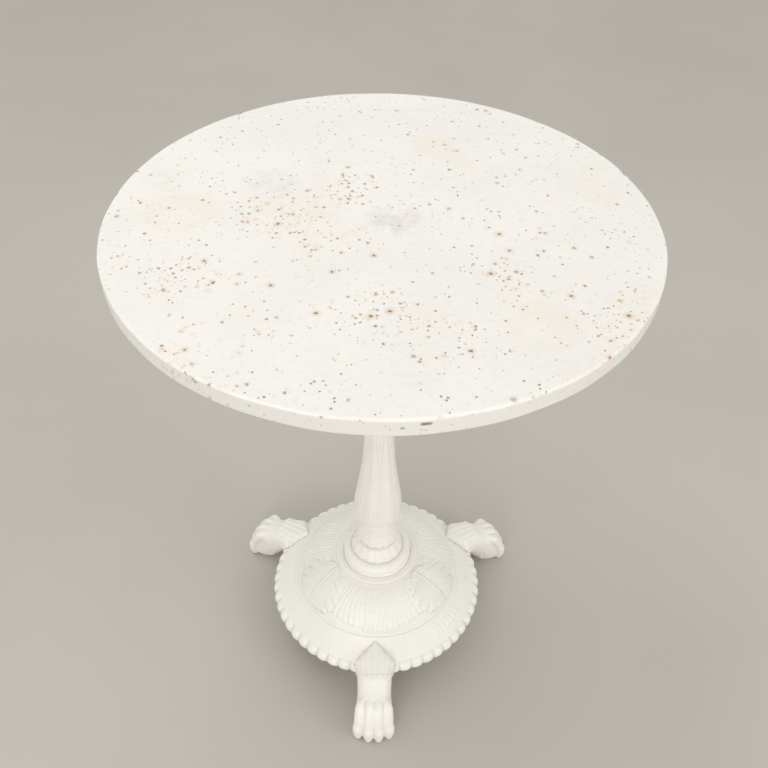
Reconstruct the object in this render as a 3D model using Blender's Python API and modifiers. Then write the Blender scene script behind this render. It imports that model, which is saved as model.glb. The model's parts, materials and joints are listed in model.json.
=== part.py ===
"""Bistro table: a round marble top on a white cast-iron pedestal with three lion-paw feet.

Metres, +Z up. The origin is on the floor under the middle of the top. The front foot
points along -Y. The pedestal is a stack of hollow castings (dish, socle, leaf collar,
column, spider) that one long rod clamps together; the feet are bolted to the dish.
"""
import math

import bmesh
import bpy
from mathutils import Matrix, Vector

# Driving dimensions
TABLE_HEIGHT = 0.730
TOP_RADIUS = 0.300
TOP_THICKNESS = 0.020
TOP_ARRIS = 0.0025
GAP = 0.0003

FOOT_AZIMUTHS = (-90.0, 30.0, 150.0)
FOOT_REACH = 0.2405
RIM_RADIUS = 0.1607
RIM_TOP = 0.0610
RIM_BOTTOM = 0.0530
RING_RADIUS = 0.1250
DISH_TOP = 0.1372
DISH_SEAT_RADIUS = 0.0510
DISH_RING_TOP = 0.1398
DISH_DOME_START = 0.0850
DISH_WALL = 0.0070
DISH_NUT_SEAT = 0.1275
BAND_INNER = 0.1285
BAND_OUTER = 0.1520
BAND_INNER_HEIGHT = 0.0885
BAND_SLOPE = -0.83

SOCLE_TOP = 0.2025
SOCLE_TORUS_RADIUS = 0.0500
COLLAR_BOTTOM = 0.1840
COLLAR_TOP = 0.2090
COLLAR_LEAF_RADIUS = 0.0297
COLUMN_BELLY_RADIUS = 0.0330
COLUMN_TOP = 0.6890
COLUMN_BORE = 0.0100

ROD_RADIUS = 0.0050
ROD_HOLE = 0.0058
ROD_BOTTOM = 0.1050
NUT_HEIGHT = 0.0080
NUT_RADIUS = 0.0092
ROD_WASHER_RADIUS = 0.0150
ROD_WASHER_THICKNESS = 0.0025

SPIDER_HUB_RADIUS = 0.0400
SPIDER_FLOOR = 0.6960
SPIDER_FACE = 0.7068
SPIDER_ARM_REACH = 0.1900
SPIDER_BOSS_RADIUS = 0.0150
SPIDER_BOSS_BOTTOM = 0.6980
ARM_AZIMUTHS = (0.0, 90.0, 180.0, 270.0)

SCREW_RADIUS = 0.0030
SCREW_HOLE = 0.0036
SCREW_HEAD_RADIUS = 0.0058
SCREW_HEAD_HEIGHT = 0.0042
SMALL_WASHER_RADIUS = 0.0072
SMALL_WASHER_THICKNESS = 0.0016
INSERT_RADIUS = 0.0050
INSERT_HOLE_DEPTH = 0.0130
PAD_RADIUS = 0.0145

FOOT_BOLT_RADIAL = 0.1420
FOOT_BOLT_LATERAL = 0.0095
FOOT_BOSS_RADIUS = 0.0085
FOOT_BOSS_BOTTOM = 0.0580
FOOT_BOLT_TIP = 0.0805
FOOT_CLEARANCE = 0.00045

ARM_ROOT_HALF_WIDTH = 0.0130
ARM_END_HALF_WIDTH = 0.0090
ARM_ROOT_BOTTOM = 0.6905
ARM_END_BOTTOM = 0.7000
TOE_LATERALS = (-0.0218, -0.0072, 0.0072, 0.0218)
TOE_LENGTH = 0.0170
TOE_WIDTH = 0.0083
TOE_HEIGHT = 0.0175
TOE_CENTRE_HEIGHT = 0.0160
TOE_SPLAY_PER_METRE = 500.0
TOE_SET_BACK = 0.28

ROUND_STEPS = 30
DISH_STEPS = 48
TOP_STEPS = 64
SMALL_SIDES = 12

CAST_IRON = ("white_cast_iron", (0.80, 0.79, 0.75), 0.42, 0.0)
MARBLE = ("white_marble", (0.86, 0.85, 0.82), 0.28, 0.0)
STEEL = ("zinc_steel", (0.55, 0.56, 0.57), 0.38, 1.0)
BRASS = ("insert_brass", (0.72, 0.56, 0.26), 0.32, 1.0)
FELT = ("grey_felt", (0.30, 0.30, 0.29), 0.95, 0.0)


# Scene helpers

def clear_scene():
    for ob in list(bpy.data.objects):
        bpy.data.objects.remove(ob, do_unlink=True)


def make_collection(name):
    collection = bpy.data.collections.new(name)
    bpy.context.scene.collection.children.link(collection)
    return collection


def make_material(look):
    """Return the Principled material of a look, made on first use."""
    name, colour, roughness, metallic = look
    found = bpy.data.materials.get(name)
    if found:
        return found
    mat = bpy.data.materials.new(name)
    mat.use_nodes = True
    shader = mat.node_tree.nodes["Principled BSDF"]
    shader.inputs["Base Color"].default_value = (*colour, 1.0)
    shader.inputs["Roughness"].default_value = roughness
    shader.inputs["Metallic"].default_value = metallic
    mat.diffuse_color = (*colour, 1.0)
    return mat


def shade_round(mesh, angle=35.0):
    mesh.shade_smooth()
    mesh.set_sharp_from_angle(angle=math.radians(angle))


def add_piece(name, mesh, look, location=(0.0, 0.0, 0.0), azimuth=0.0):
    """Put one piece of the table in its collection, with a material of its own."""
    ob = bpy.data.objects.new(name, mesh)
    ob.location = location
    ob.rotation_euler = (0.0, 0.0, math.radians(azimuth))
    PIECES.objects.link(ob)
    if not mesh.materials:
        mesh.materials.append(make_material(look))
    return ob


def add_cutter(name, mesh):
    ob = bpy.data.objects.new(name, mesh)
    ob.hide_render = True
    ob.display_type = "WIRE"
    CUTTERS.objects.link(ob)
    return ob


def add_boolean(ob, cutter, operation="DIFFERENCE"):
    modifier = ob.modifiers.new(cutter.name, "BOOLEAN")
    modifier.operation = operation
    modifier.solver = "EXACT"
    modifier.object = cutter
    return modifier


def baked_mesh(ob, name):
    """Return the evaluated mesh of an object, its modifiers applied."""
    bpy.context.view_layer.update()
    graph = bpy.context.evaluated_depsgraph_get()
    mesh = bpy.data.meshes.new_from_object(ob.evaluated_get(graph))
    mesh.name = name
    return mesh


def polar(radius, azimuth, z=0.0):
    angle = math.radians(azimuth)
    return Vector((radius * math.cos(angle), radius * math.sin(angle), z))


# Shape helpers

def arc(centre_r, centre_z, radius, start, end, count):
    """Points of an arc in the (r, z) half plane, angles in degrees from the +r side."""
    points = []
    for step in range(count + 1):
        angle = math.radians(start + (end - start) * step / count)
        points.append((centre_r + radius * math.cos(angle), centre_z + radius * math.sin(angle)))
    return points


def profile_mesh(name, points, closed):
    mesh = bpy.data.meshes.new(name)
    verts = [(r, 0.0, z) for r, z in points]
    edges = [(i, i + 1) for i in range(len(points) - 1)]
    if closed:
        edges.append((len(points) - 1, 0))
    mesh.from_pydata(verts, edges, [])
    return mesh


def add_screw(ob, steps):
    modifier = ob.modifiers.new("turn", "SCREW")
    modifier.axis = "Z"
    modifier.steps = steps
    modifier.render_steps = steps
    modifier.use_merge_vertices = True
    modifier.merge_threshold = 0.00002
    modifier.use_smooth_shade = True
    return modifier


def turned(name, points, look, steps, closed=True):
    """A turned piece: the outline runs down the outer side and back up the bore."""
    ob = add_piece(name, profile_mesh(name, points, closed), look)
    add_screw(ob, steps)
    return ob


def turned_cutter(name, points, steps, closed=False):
    ob = add_cutter(name, profile_mesh(name, points, closed))
    add_screw(ob, steps)
    return ob


def prism_mesh(name, radius, low, high, sides, centre=(0.0, 0.0), top_radius=None):
    """A straight or tapered prism or cylinder between two heights."""
    bm = bmesh.new()
    middle = Matrix.Translation((centre[0], centre[1], (low + high) / 2.0))
    upper = radius if top_radius is None else top_radius
    bmesh.ops.create_cone(bm, cap_ends=True, segments=sides, radius1=radius, radius2=upper,
                          depth=high - low, matrix=middle)
    mesh = bpy.data.meshes.new(name)
    bm.to_mesh(mesh)
    bm.free()
    return mesh


def drilled_mesh(name, blank_mesh, hole_radius, low, high):
    """Bore a blank along Z and return the finished mesh."""
    blank = bpy.data.objects.new(name + "_blank", blank_mesh)
    CUTTERS.objects.link(blank)
    drill = add_cutter(name + "_drill", prism_mesh(name + "_drill", hole_radius, low, high, SMALL_SIDES))
    add_boolean(blank, drill)
    mesh = baked_mesh(blank, name)
    bpy.data.objects.remove(blank)
    bpy.data.objects.remove(drill)
    return mesh


def nut_mesh(name, radius, height, hole):
    blank = prism_mesh(name, radius, 0.0, height, 6)
    return drilled_mesh(name, blank, hole, -height, 2.0 * height)


def ring_mesh(name, outer, inner, height, sides=SMALL_SIDES):
    """A flat washer or sleeve standing on z = 0."""
    bm = bmesh.new()
    corners = ((outer, height), (outer, 0.0), (inner, 0.0), (inner, height))
    verts = [bm.verts.new((r, 0.0, z)) for r, z in corners]
    edges = [bm.edges.new((verts[i], verts[(i + 1) % 4])) for i in range(4)]
    bmesh.ops.spin(bm, geom=verts + edges, cent=(0.0, 0.0, 0.0), axis=(0.0, 0.0, 1.0),
                   angle=2.0 * math.pi, steps=sides, use_merge=True)
    bmesh.ops.remove_doubles(bm, verts=bm.verts, dist=0.00002)
    bmesh.ops.recalc_face_normals(bm, faces=bm.faces)
    mesh = bpy.data.meshes.new(name)
    bm.to_mesh(mesh)
    bm.free()
    return mesh


def bolt_mesh(name, shank_radius, length, head_radius, head_height):
    """A hex-head bolt, point up: the head hangs below z = 0 and the shank stands above it."""
    shank = bpy.data.objects.new(name + "_shank", prism_mesh(name, shank_radius, -head_height / 2.0,
                                                            length, SMALL_SIDES))
    head = add_cutter(name + "_head", prism_mesh(name + "_head", head_radius, -head_height, 0.0, 6))
    CUTTERS.objects.link(shank)
    add_boolean(shank, head, "UNION")
    mesh = baked_mesh(shank, name)
    bpy.data.objects.remove(shank)
    bpy.data.objects.remove(head)
    return mesh


# Marble top

def marble_top():
    bottom = TABLE_HEIGHT - TOP_THICKNESS
    lower_arris = TOP_ARRIS * 0.6
    points = [(0.0, TABLE_HEIGHT)]
    points += arc(TOP_RADIUS - TOP_ARRIS, TABLE_HEIGHT - TOP_ARRIS, TOP_ARRIS, 90.0, 0.0, 3)
    points += arc(TOP_RADIUS - lower_arris, bottom + lower_arris, lower_arris, 0.0, -90.0, 2)
    points += [(0.0, bottom)]
    slab = turned("marble_top", points, MARBLE, TOP_STEPS, closed=False)
    for number, azimuth in enumerate(ARM_AZIMUTHS, 1):
        centre = polar(SPIDER_ARM_REACH, azimuth)
        hole = prism_mesh("insert_hole_%d" % number, INSERT_RADIUS + GAP, bottom - 0.005,
                          bottom + INSERT_HOLE_DEPTH, SMALL_SIDES, centre)
        add_boolean(slab, add_cutter("insert_hole_%d" % number, hole))


# Spider under the top, with its pads, screws and inserts

def spider_arm_mesh(name, azimuth):
    """One tapered arm, flat on top, shallow at its end and deep at the hub."""
    root, end = SPIDER_HUB_RADIUS * 0.6, SPIDER_ARM_REACH
    bm = bmesh.new()
    bmesh.ops.create_cube(bm, size=1.0)
    for vert in bm.verts:
        outer = vert.co.x > 0.0
        vert.co.x = end if outer else root
        vert.co.y = math.copysign(ARM_END_HALF_WIDTH if outer else ARM_ROOT_HALF_WIDTH, vert.co.y)
        low = ARM_END_BOTTOM if outer else ARM_ROOT_BOTTOM
        vert.co.z = SPIDER_FACE if vert.co.z > 0.0 else low
    bmesh.ops.rotate(bm, verts=bm.verts, cent=(0.0, 0.0, 0.0),
                     matrix=Matrix.Rotation(math.radians(azimuth), 3, "Z"))
    mesh = bpy.data.meshes.new(name)
    bm.to_mesh(mesh)
    bm.free()
    return mesh


def top_spider():
    """Four-armed casting: a cupped hub that takes the rod's nut, and a drilled boss on each arm."""
    low = COLUMN_TOP + GAP
    hub = [(0.0330, SPIDER_FACE), (SPIDER_HUB_RADIUS - 0.001, SPIDER_FACE),
           (SPIDER_HUB_RADIUS, SPIDER_FACE - 0.001), (SPIDER_HUB_RADIUS, 0.6990),
           (SPIDER_HUB_RADIUS - 0.006, 0.6920), (0.0280, low), (ROD_HOLE, low),
           (ROD_HOLE, SPIDER_FLOOR), (0.0270, SPIDER_FLOOR)]
    spider = turned("top_spider", hub, CAST_IRON, ROUND_STEPS)
    pocket = turned_cutter("hub_pocket", [(0.0, SPIDER_FACE + 0.005), (0.0290, SPIDER_FACE + 0.005),
                                          (0.0265, SPIDER_FLOOR), (0.0, SPIDER_FLOOR)], ROUND_STEPS)
    for number, azimuth in enumerate(ARM_AZIMUTHS, 1):
        arm = add_cutter("arm_%d" % number, spider_arm_mesh("arm_%d" % number, azimuth))
        centre = polar(SPIDER_ARM_REACH, azimuth)
        boss = prism_mesh("arm_boss_%d" % number, SPIDER_BOSS_RADIUS, SPIDER_BOSS_BOTTOM,
                          SPIDER_FACE, 20, centre)
        add_boolean(spider, arm, "UNION")
        add_boolean(spider, add_cutter("arm_boss_%d" % number, boss), "UNION")
    add_boolean(spider, pocket)
    for number, azimuth in enumerate(ARM_AZIMUTHS, 1):
        centre = polar(SPIDER_ARM_REACH, azimuth)
        hole = prism_mesh("arm_hole_%d" % number, SCREW_HOLE, SPIDER_BOSS_BOTTOM - 0.005,
                          SPIDER_FACE + 0.005, SMALL_SIDES, centre)
        add_boolean(spider, add_cutter("arm_hole_%d" % number, hole))


def top_fixings():
    """Felt pad, brass insert, screw and washer at the end of each arm."""
    underside = TABLE_HEIGHT - TOP_THICKNESS
    pad_low = SPIDER_FACE + GAP
    pad = ring_mesh("spider_pad", PAD_RADIUS, SCREW_HOLE, underside - GAP - pad_low, 20)
    insert = ring_mesh("top_insert", INSERT_RADIUS, SCREW_RADIUS + GAP, INSERT_HOLE_DEPTH - 2.0 * GAP)
    washer_low = SPIDER_BOSS_BOTTOM - GAP - SMALL_WASHER_THICKNESS
    washer = ring_mesh("top_washer", SMALL_WASHER_RADIUS, SCREW_HOLE, SMALL_WASHER_THICKNESS)
    seat = washer_low - GAP
    screw_end = underside + INSERT_HOLE_DEPTH - 0.0015
    screw = bolt_mesh("top_screw", SCREW_RADIUS, screw_end - seat, SCREW_HEAD_RADIUS, SCREW_HEAD_HEIGHT)
    for number, azimuth in enumerate(ARM_AZIMUTHS, 1):
        centre = polar(SPIDER_ARM_REACH, azimuth)
        place = Vector((centre.x, centre.y, 0.0))
        add_piece("spider_pad_%d" % number, pad, FELT, place + Vector((0.0, 0.0, pad_low)))
        add_piece("top_insert_%d" % number, insert, BRASS, place + Vector((0.0, 0.0, underside + GAP)))
        add_piece("top_washer_%d" % number, washer, STEEL, place + Vector((0.0, 0.0, washer_low)))
        add_piece("top_screw_%d" % number, screw, STEEL, place + Vector((0.0, 0.0, seat)))


# Column, leaf collar and socle

def column_shaft():
    """Hollow leaf baluster that tapers to a slim neck and a small flared capital."""
    low = COLLAR_TOP + GAP
    belly = COLUMN_BELLY_RADIUS
    outer = [(0.0290, COLUMN_TOP), (0.0300, COLUMN_TOP - 0.001), (0.0300, 0.6830)]
    outer += [(0.0265, 0.6790), (0.0215, 0.6680), (0.0240, 0.6640), (0.0240, 0.6610)]
    outer += [(0.0175, 0.6560), (0.0165, 0.6400), (0.0160, 0.5560), (0.0200, 0.5500)]
    outer += [(0.0205, 0.5450), (0.0165, 0.5390), (0.0168, 0.4700), (0.0174, 0.4300)]
    outer += [(0.0186, 0.3900), (0.0222, 0.3400), (0.0281, 0.2950), (0.0321, 0.2670)]
    outer += [(belly, 0.2500), (0.0326, 0.2430), (0.0310, 0.2355), (0.0280, 0.2300)]
    outer += [(0.0245, 0.2272), (0.0262, 0.2256), (0.0268, 0.2180), (0.0268, low)]
    bore = [(COLUMN_BORE, low), (COLUMN_BORE, COLUMN_TOP)]
    turned("column_shaft", outer + bore, CAST_IRON, ROUND_STEPS)


def leaf_collar():
    """Cap of hanging leaves that covers the joint of column and socle."""
    outer = [(0.0264, COLLAR_TOP), (0.0266, 0.2070), (0.0262, 0.2045), (0.0276, 0.1970)]
    outer += [(0.0289, 0.1900), (COLLAR_LEAF_RADIUS, COLLAR_BOTTOM)]
    inner = [(0.0273, COLLAR_BOTTOM), (0.0250, 0.1900), (0.0236, 0.1960), (0.0235, SOCLE_TOP + GAP)]
    inner += [(ROD_HOLE, SOCLE_TOP + GAP), (ROD_HOLE, COLLAR_TOP)]
    turned("leaf_collar", outer + inner, CAST_IRON, ROUND_STEPS)


def socle():
    """Bell and torus under the column, hollow from below."""
    low = DISH_TOP + GAP
    torus = 0.0095
    outer = [(0.0215, SOCLE_TOP), (0.0222, SOCLE_TOP - 0.0010), (0.0222, 0.1935)]
    outer += [(0.0226, 0.1890), (0.0245, 0.1830), (0.0296, 0.1755), (0.0342, 0.1680)]
    outer += [(0.0368, 0.1620), (0.0378, 0.1588), (0.0374, 0.1570)]
    outer += arc(SOCLE_TORUS_RADIUS - torus, 0.1475, torus, 92.0, -38.0, 6)
    outer += [(0.0482, low)]
    bore = [(0.0340, low), (0.0320, 0.1500), (0.0200, 0.1660), (ROD_HOLE + 0.004, 0.1740)]
    bore += [(ROD_HOLE, 0.1800), (ROD_HOLE, SOCLE_TOP)]
    turned("socle", outer + bore, CAST_IRON, ROUND_STEPS)


# Dish

def band_height(radius):
    """Height of the plain sloping band at a radius."""
    return BAND_INNER_HEIGHT + (radius - BAND_INNER) * BAND_SLOPE


def foot_boss_mesh(name, place):
    """A round boss under the band, its top sloped to end inside the dish's wall."""
    mesh = prism_mesh(name, FOOT_BOSS_RADIUS, FOOT_BOSS_BOTTOM, 0.0700, 16, place)
    for vert in mesh.vertices:
        if vert.co.z > FOOT_BOSS_BOTTOM + 0.001:
            vert.co.z = band_height(math.hypot(vert.co.x, vert.co.y)) - DISH_WALL * 0.5
    return mesh


def dish_outer_profile():
    """Outside of the dish from its flat seat, over the dome and the band, to the rim."""
    points = [(DISH_SEAT_RADIUS, DISH_TOP), (DISH_SEAT_RADIUS + 0.0005, DISH_RING_TOP)]
    points += [(0.0590, DISH_RING_TOP), (0.0605, 0.1384), (0.0660, 0.1375), (0.0705, 0.1362)]
    points += [(DISH_DOME_START, 0.1308), (0.1000, 0.1200), (0.1130, 0.1058), (RING_RADIUS - 0.0030, 0.0940)]
    points += [(RING_RADIUS, 0.0925), (BAND_INNER, band_height(BAND_INNER))]
    points += [(0.1400, band_height(0.1400)), (BAND_OUTER, band_height(BAND_OUTER))]
    points += [(0.1575, 0.0655), (RIM_RADIUS - 0.0006, 0.0625), (RIM_RADIUS, RIM_TOP - 0.0020)]
    points += [(RIM_RADIUS - 0.0010, RIM_BOTTOM + 0.0020), (RIM_RADIUS - 0.0035, RIM_BOTTOM)]
    return points


def base_dish():
    under = [(0.1540, RIM_BOTTOM), (0.1515, 0.0600), (0.1460, 0.0650), (0.1350, 0.0740), (0.1200, 0.0865)]
    under += [(0.1080, 0.1010), (0.0950, 0.1130), (0.0800, 0.1225), (0.0660, DISH_TOP - DISH_WALL)]
    under += [(0.0300, DISH_TOP - DISH_WALL), (0.0220, DISH_NUT_SEAT), (ROD_HOLE, DISH_NUT_SEAT)]
    under += [(ROD_HOLE, DISH_TOP)]
    dish = turned("base_dish", dish_outer_profile() + under, CAST_IRON, DISH_STEPS)
    bolts = foot_bolt_places()
    for number, place in enumerate(bolts, 1):
        boss = foot_boss_mesh("foot_boss_%d" % number, place)
        add_boolean(dish, add_cutter("foot_boss_%d" % number, boss), "UNION")
    for number, place in enumerate(bolts, 1):
        hole = prism_mesh("foot_bolt_hole_%d" % number, SCREW_HOLE, FOOT_BOSS_BOTTOM - 0.010, 0.0900,
                          SMALL_SIDES, place)
        add_boolean(dish, add_cutter("foot_bolt_hole_%d" % number, hole))


# Feet

def foot_bolt_places():
    """Plan positions of the two bolts of each foot."""
    places = []
    for azimuth in FOOT_AZIMUTHS:
        for side in (-1.0, 1.0):
            local = Vector((FOOT_BOLT_RADIAL, side * FOOT_BOLT_LATERAL, 0.0))
            turned_place = Matrix.Rotation(math.radians(azimuth), 3, "Z") @ local
            places.append((turned_place.x, turned_place.y))
    return places


def foot_section(top, bottom, half_width, sides):
    """One loop of the foot: a rounded box between a top and a bottom point of the side view."""
    power = 0.72
    middle = Vector(((top[0] + bottom[0]) / 2.0, 0.0, (top[1] + bottom[1]) / 2.0))
    up = Vector(((top[0] - bottom[0]) / 2.0, 0.0, (top[1] - bottom[1]) / 2.0))
    loop = []
    for step in range(sides):
        angle = 2.0 * math.pi * step / sides
        across = math.copysign(abs(math.cos(angle)) ** power, math.cos(angle))
        along = math.copysign(abs(math.sin(angle)) ** power, math.sin(angle))
        loop.append(middle + up * along + Vector((0.0, half_width * across, 0.0)))
    return loop


def foot_limb_mesh():
    """Palmette cuff, ankle and paw as one loft that points along +X."""
    stations = (
        ((0.1285, 0.0885), (0.1285, 0.0800), 0.0020),
        ((0.1400, 0.0888), (0.1400, 0.0650), 0.0150),
        ((0.1520, 0.0885), (0.1520, 0.0550), 0.0285),
        ((0.1600, 0.0878), (0.1590, 0.0440), 0.0312),
        ((0.1720, 0.0854), (0.1650, 0.0400), 0.0286),
        ((0.1800, 0.0838), (0.1690, 0.0330), 0.0266),
        ((0.1835, 0.0785), (0.1740, 0.0250), 0.0240),
        ((0.1950, 0.0715), (0.1820, 0.0150), 0.0235),
        ((0.2090, 0.0655), (0.1890, 0.0050), 0.0245),
        ((0.2210, 0.0550), (0.1980, -0.0020), 0.0275),
        ((0.2300, 0.0390), (0.2100, -0.0040), 0.0292),
        ((0.2345, 0.0230), (0.2250, -0.0040), 0.0275),
    )
    sides = 16
    bm = bmesh.new()
    loops = []
    for top, bottom, half_width in stations:
        points = foot_section(top, bottom, half_width, sides)
        loops.append([bm.verts.new(point) for point in points])
    for near, far in zip(loops, loops[1:]):
        for side in range(sides):
            other = (side + 1) % sides
            bm.faces.new((near[side], near[other], far[other], far[side]))
    bm.faces.new(loops[0])
    bm.faces.new(list(reversed(loops[-1])))
    bmesh.ops.recalc_face_normals(bm, faces=bm.faces)
    mesh = bpy.data.meshes.new("foot_limb")
    bm.to_mesh(mesh)
    bm.free()
    return mesh


def toe_mesh(name, lateral, splay):
    """One knuckled toe of the paw, an egg that leans out from the middle line."""
    bm = bmesh.new()
    bmesh.ops.create_uvsphere(bm, u_segments=12, v_segments=8, radius=1.0)
    bmesh.ops.scale(bm, verts=bm.verts, vec=(TOE_LENGTH, TOE_WIDTH, TOE_HEIGHT))
    bmesh.ops.rotate(bm, verts=bm.verts, cent=(0.0, 0.0, 0.0),
                     matrix=Matrix.Rotation(math.radians(splay), 3, "Z"))
    reach = FOOT_REACH - TOE_LENGTH - (abs(lateral) - min(map(abs, TOE_LATERALS))) * TOE_SET_BACK
    bmesh.ops.translate(bm, verts=bm.verts, vec=(reach, lateral, TOE_CENTRE_HEIGHT))
    mesh = bpy.data.meshes.new(name)
    bm.to_mesh(mesh)
    bm.free()
    return mesh


def dish_clearance_cutter():
    """The dish's outer form from the dome outward, a small gap larger and filled solid below."""
    top, bottom, inner = DISH_TOP + 0.010, 0.0350, 0.1390
    outline = [Vector(point) for point in dish_outer_profile()]
    outline.append(Vector((0.1490, RIM_BOTTOM)))
    start = next(index for index, point in enumerate(outline) if point.x >= DISH_DOME_START)
    points = [(0.0, top), (DISH_DOME_START, top)]
    for before, point, after in zip(outline[start - 1:], outline[start:], outline[start + 1:]):
        run = (after - before).normalized()
        points.append((point.x - run.y * FOOT_CLEARANCE, point.y + run.x * FOOT_CLEARANCE))
    points += [(outline[-1].x, RIM_BOTTOM - FOOT_CLEARANCE), (inner, bottom), (0.0, bottom)]
    return turned_cutter("dish_clearance", points, DISH_STEPS)


def paw_foot_mesh():
    """The finished foot, cut to lie on the dish and to stand flat on the floor."""
    limb = bpy.data.objects.new("foot_limb", foot_limb_mesh())
    CUTTERS.objects.link(limb)
    for number, lateral in enumerate(TOE_LATERALS, 1):
        splay = lateral * TOE_SPLAY_PER_METRE
        toe = add_cutter("toe_%d" % number, toe_mesh("toe_%d" % number, lateral, splay))
        add_boolean(limb, toe, "UNION")
    add_boolean(limb, dish_clearance_cutter())
    floor = prism_mesh("floor_cut", 0.4, -0.050, 0.0, 4)
    add_boolean(limb, add_cutter("floor_cut", floor))
    for number, side in enumerate((-1.0, 1.0), 1):
        hole = prism_mesh("foot_thread_%d" % number, SCREW_RADIUS + GAP, 0.0300,
                          FOOT_BOLT_TIP + 0.0008, SMALL_SIDES,
                          (FOOT_BOLT_RADIAL, side * FOOT_BOLT_LATERAL))
        add_boolean(limb, add_cutter("foot_thread_%d" % number, hole))
    mesh = baked_mesh(limb, "paw_foot")
    bpy.data.objects.remove(limb)
    return mesh


def paw_feet():
    mesh = paw_foot_mesh()
    shade_round(mesh, 50.0)
    for number, azimuth in enumerate(FOOT_AZIMUTHS, 1):
        add_piece("paw_foot_%d" % number, mesh, CAST_IRON, azimuth=azimuth)


def foot_fixings():
    """A washer and a hex bolt under each boss of the dish."""
    washer_low = FOOT_BOSS_BOTTOM - GAP - SMALL_WASHER_THICKNESS
    seat = washer_low - GAP
    washer = ring_mesh("foot_washer", SMALL_WASHER_RADIUS, SCREW_HOLE, SMALL_WASHER_THICKNESS)
    bolt = bolt_mesh("foot_bolt", SCREW_RADIUS, FOOT_BOLT_TIP - seat, SCREW_HEAD_RADIUS, SCREW_HEAD_HEIGHT)
    for number, (x, y) in enumerate(foot_bolt_places(), 1):
        add_piece("foot_washer_%d" % number, washer, STEEL, (x, y, washer_low))
        add_piece("foot_bolt_%d" % number, bolt, STEEL, (x, y, seat))


# Tie rod with its nuts and washers

def tie_rod():
    top_washer_low = SPIDER_FLOOR + GAP
    top_nut_low = top_washer_low + ROD_WASHER_THICKNESS + GAP
    bottom_washer_low = DISH_NUT_SEAT - GAP - ROD_WASHER_THICKNESS
    bottom_nut_low = bottom_washer_low - GAP - NUT_HEIGHT
    rod_top = top_nut_low + NUT_HEIGHT + 0.0010
    chamfer = 0.0010
    rod = [(0.0, rod_top), (ROD_RADIUS - chamfer, rod_top), (ROD_RADIUS, rod_top - chamfer)]
    rod += [(ROD_RADIUS, ROD_BOTTOM + chamfer), (ROD_RADIUS - chamfer, ROD_BOTTOM), (0.0, ROD_BOTTOM)]
    turned("tie_rod", rod, STEEL, 16, closed=False)
    washer = ring_mesh("rod_washer", ROD_WASHER_RADIUS, ROD_HOLE, ROD_WASHER_THICKNESS, 24)
    nut = nut_mesh("rod_nut", NUT_RADIUS, NUT_HEIGHT, ROD_RADIUS + GAP)
    add_piece("rod_washer_top", washer, STEEL, (0.0, 0.0, top_washer_low))
    add_piece("rod_nut_top", nut, STEEL, (0.0, 0.0, top_nut_low))
    add_piece("rod_washer_bottom", washer, STEEL, (0.0, 0.0, bottom_washer_low))
    add_piece("rod_nut_bottom", nut, STEEL, (0.0, 0.0, bottom_nut_low))


clear_scene()
PIECES = make_collection("bistro_table")
CUTTERS = make_collection("cutters")
marble_top()
top_spider()
top_fixings()
column_shaft()
leaf_collar()
socle()
base_dish()
paw_feet()
foot_fixings()
tie_rod()
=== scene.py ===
"""Bistro table: marble top, leaf-cast pedestal and lion-paw feet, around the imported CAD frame.

Metres, +Z up, origin on the floor under the middle of the top; the front foot points along -Y.
"""
import json
import math
import random

import bmesh
import bpy
import numpy as np
from mathutils import Matrix, Vector


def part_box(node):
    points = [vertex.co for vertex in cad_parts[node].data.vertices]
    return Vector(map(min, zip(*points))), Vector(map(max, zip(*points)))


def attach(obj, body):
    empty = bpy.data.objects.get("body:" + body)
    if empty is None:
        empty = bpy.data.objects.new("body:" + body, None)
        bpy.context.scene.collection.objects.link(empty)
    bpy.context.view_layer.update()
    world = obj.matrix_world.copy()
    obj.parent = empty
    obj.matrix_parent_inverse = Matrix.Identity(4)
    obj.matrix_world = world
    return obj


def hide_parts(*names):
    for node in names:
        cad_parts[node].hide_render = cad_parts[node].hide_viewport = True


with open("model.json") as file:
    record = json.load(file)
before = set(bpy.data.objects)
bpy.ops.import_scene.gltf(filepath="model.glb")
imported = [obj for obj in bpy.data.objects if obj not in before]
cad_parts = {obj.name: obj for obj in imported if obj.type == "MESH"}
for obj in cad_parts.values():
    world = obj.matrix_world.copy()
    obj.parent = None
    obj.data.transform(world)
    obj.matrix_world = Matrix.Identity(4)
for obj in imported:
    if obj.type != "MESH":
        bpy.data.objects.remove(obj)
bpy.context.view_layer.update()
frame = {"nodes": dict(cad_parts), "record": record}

# Places taken from the frame
TOP_LOW, TOP_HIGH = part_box("marble_top")
COLUMN_LOW, COLUMN_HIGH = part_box("column_shaft")
COLLAR_LOW, COLLAR_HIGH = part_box("leaf_collar")
SOCLE_LOW, SOCLE_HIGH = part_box("socle")
DISH_LOW, DISH_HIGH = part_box("base_dish")
TOP_RADIUS = TOP_HIGH.x
RIM_RADIUS = DISH_HIGH.x
SEAT_GAP = 0.0003
DISH_SEAT = SOCLE_LOW.z - SEAT_GAP
ROD_HOLE = 0.0059
COLUMN_BORE = 0.0100
SOCLE_SPIGOT = 0.0503

# Repeats of the casting
FOOT_AZIMUTHS = (-90.0, 30.0, 150.0)
FEET_APART = 120.0
RIM_SCALLOPS = 54
COLLAR_LEAVES = 16
BELL_LOBES = 16
COLUMN_LEAVES = 6
FRONT_LEAF, BACK_LEAF = -54.0, -84.0
NECK_FLUTES = 12
CUFF_FLUTES = 11


# Numbers and curves

def ease(low, high, value):
    """Smooth step from 0 at low to 1 at high."""
    share = np.clip((value - low) / (high - low), 0.0, 1.0)
    return share * share * (3.0 - 2.0 * share)


def bump(centre, width, value):
    """A round-topped ridge of height 1."""
    return np.exp(-((value - centre) / width) ** 2)


def wrapped(angle, period):
    """Angle brought to within half a period of zero."""
    return (angle + period / 2.0) % period - period / 2.0


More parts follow.
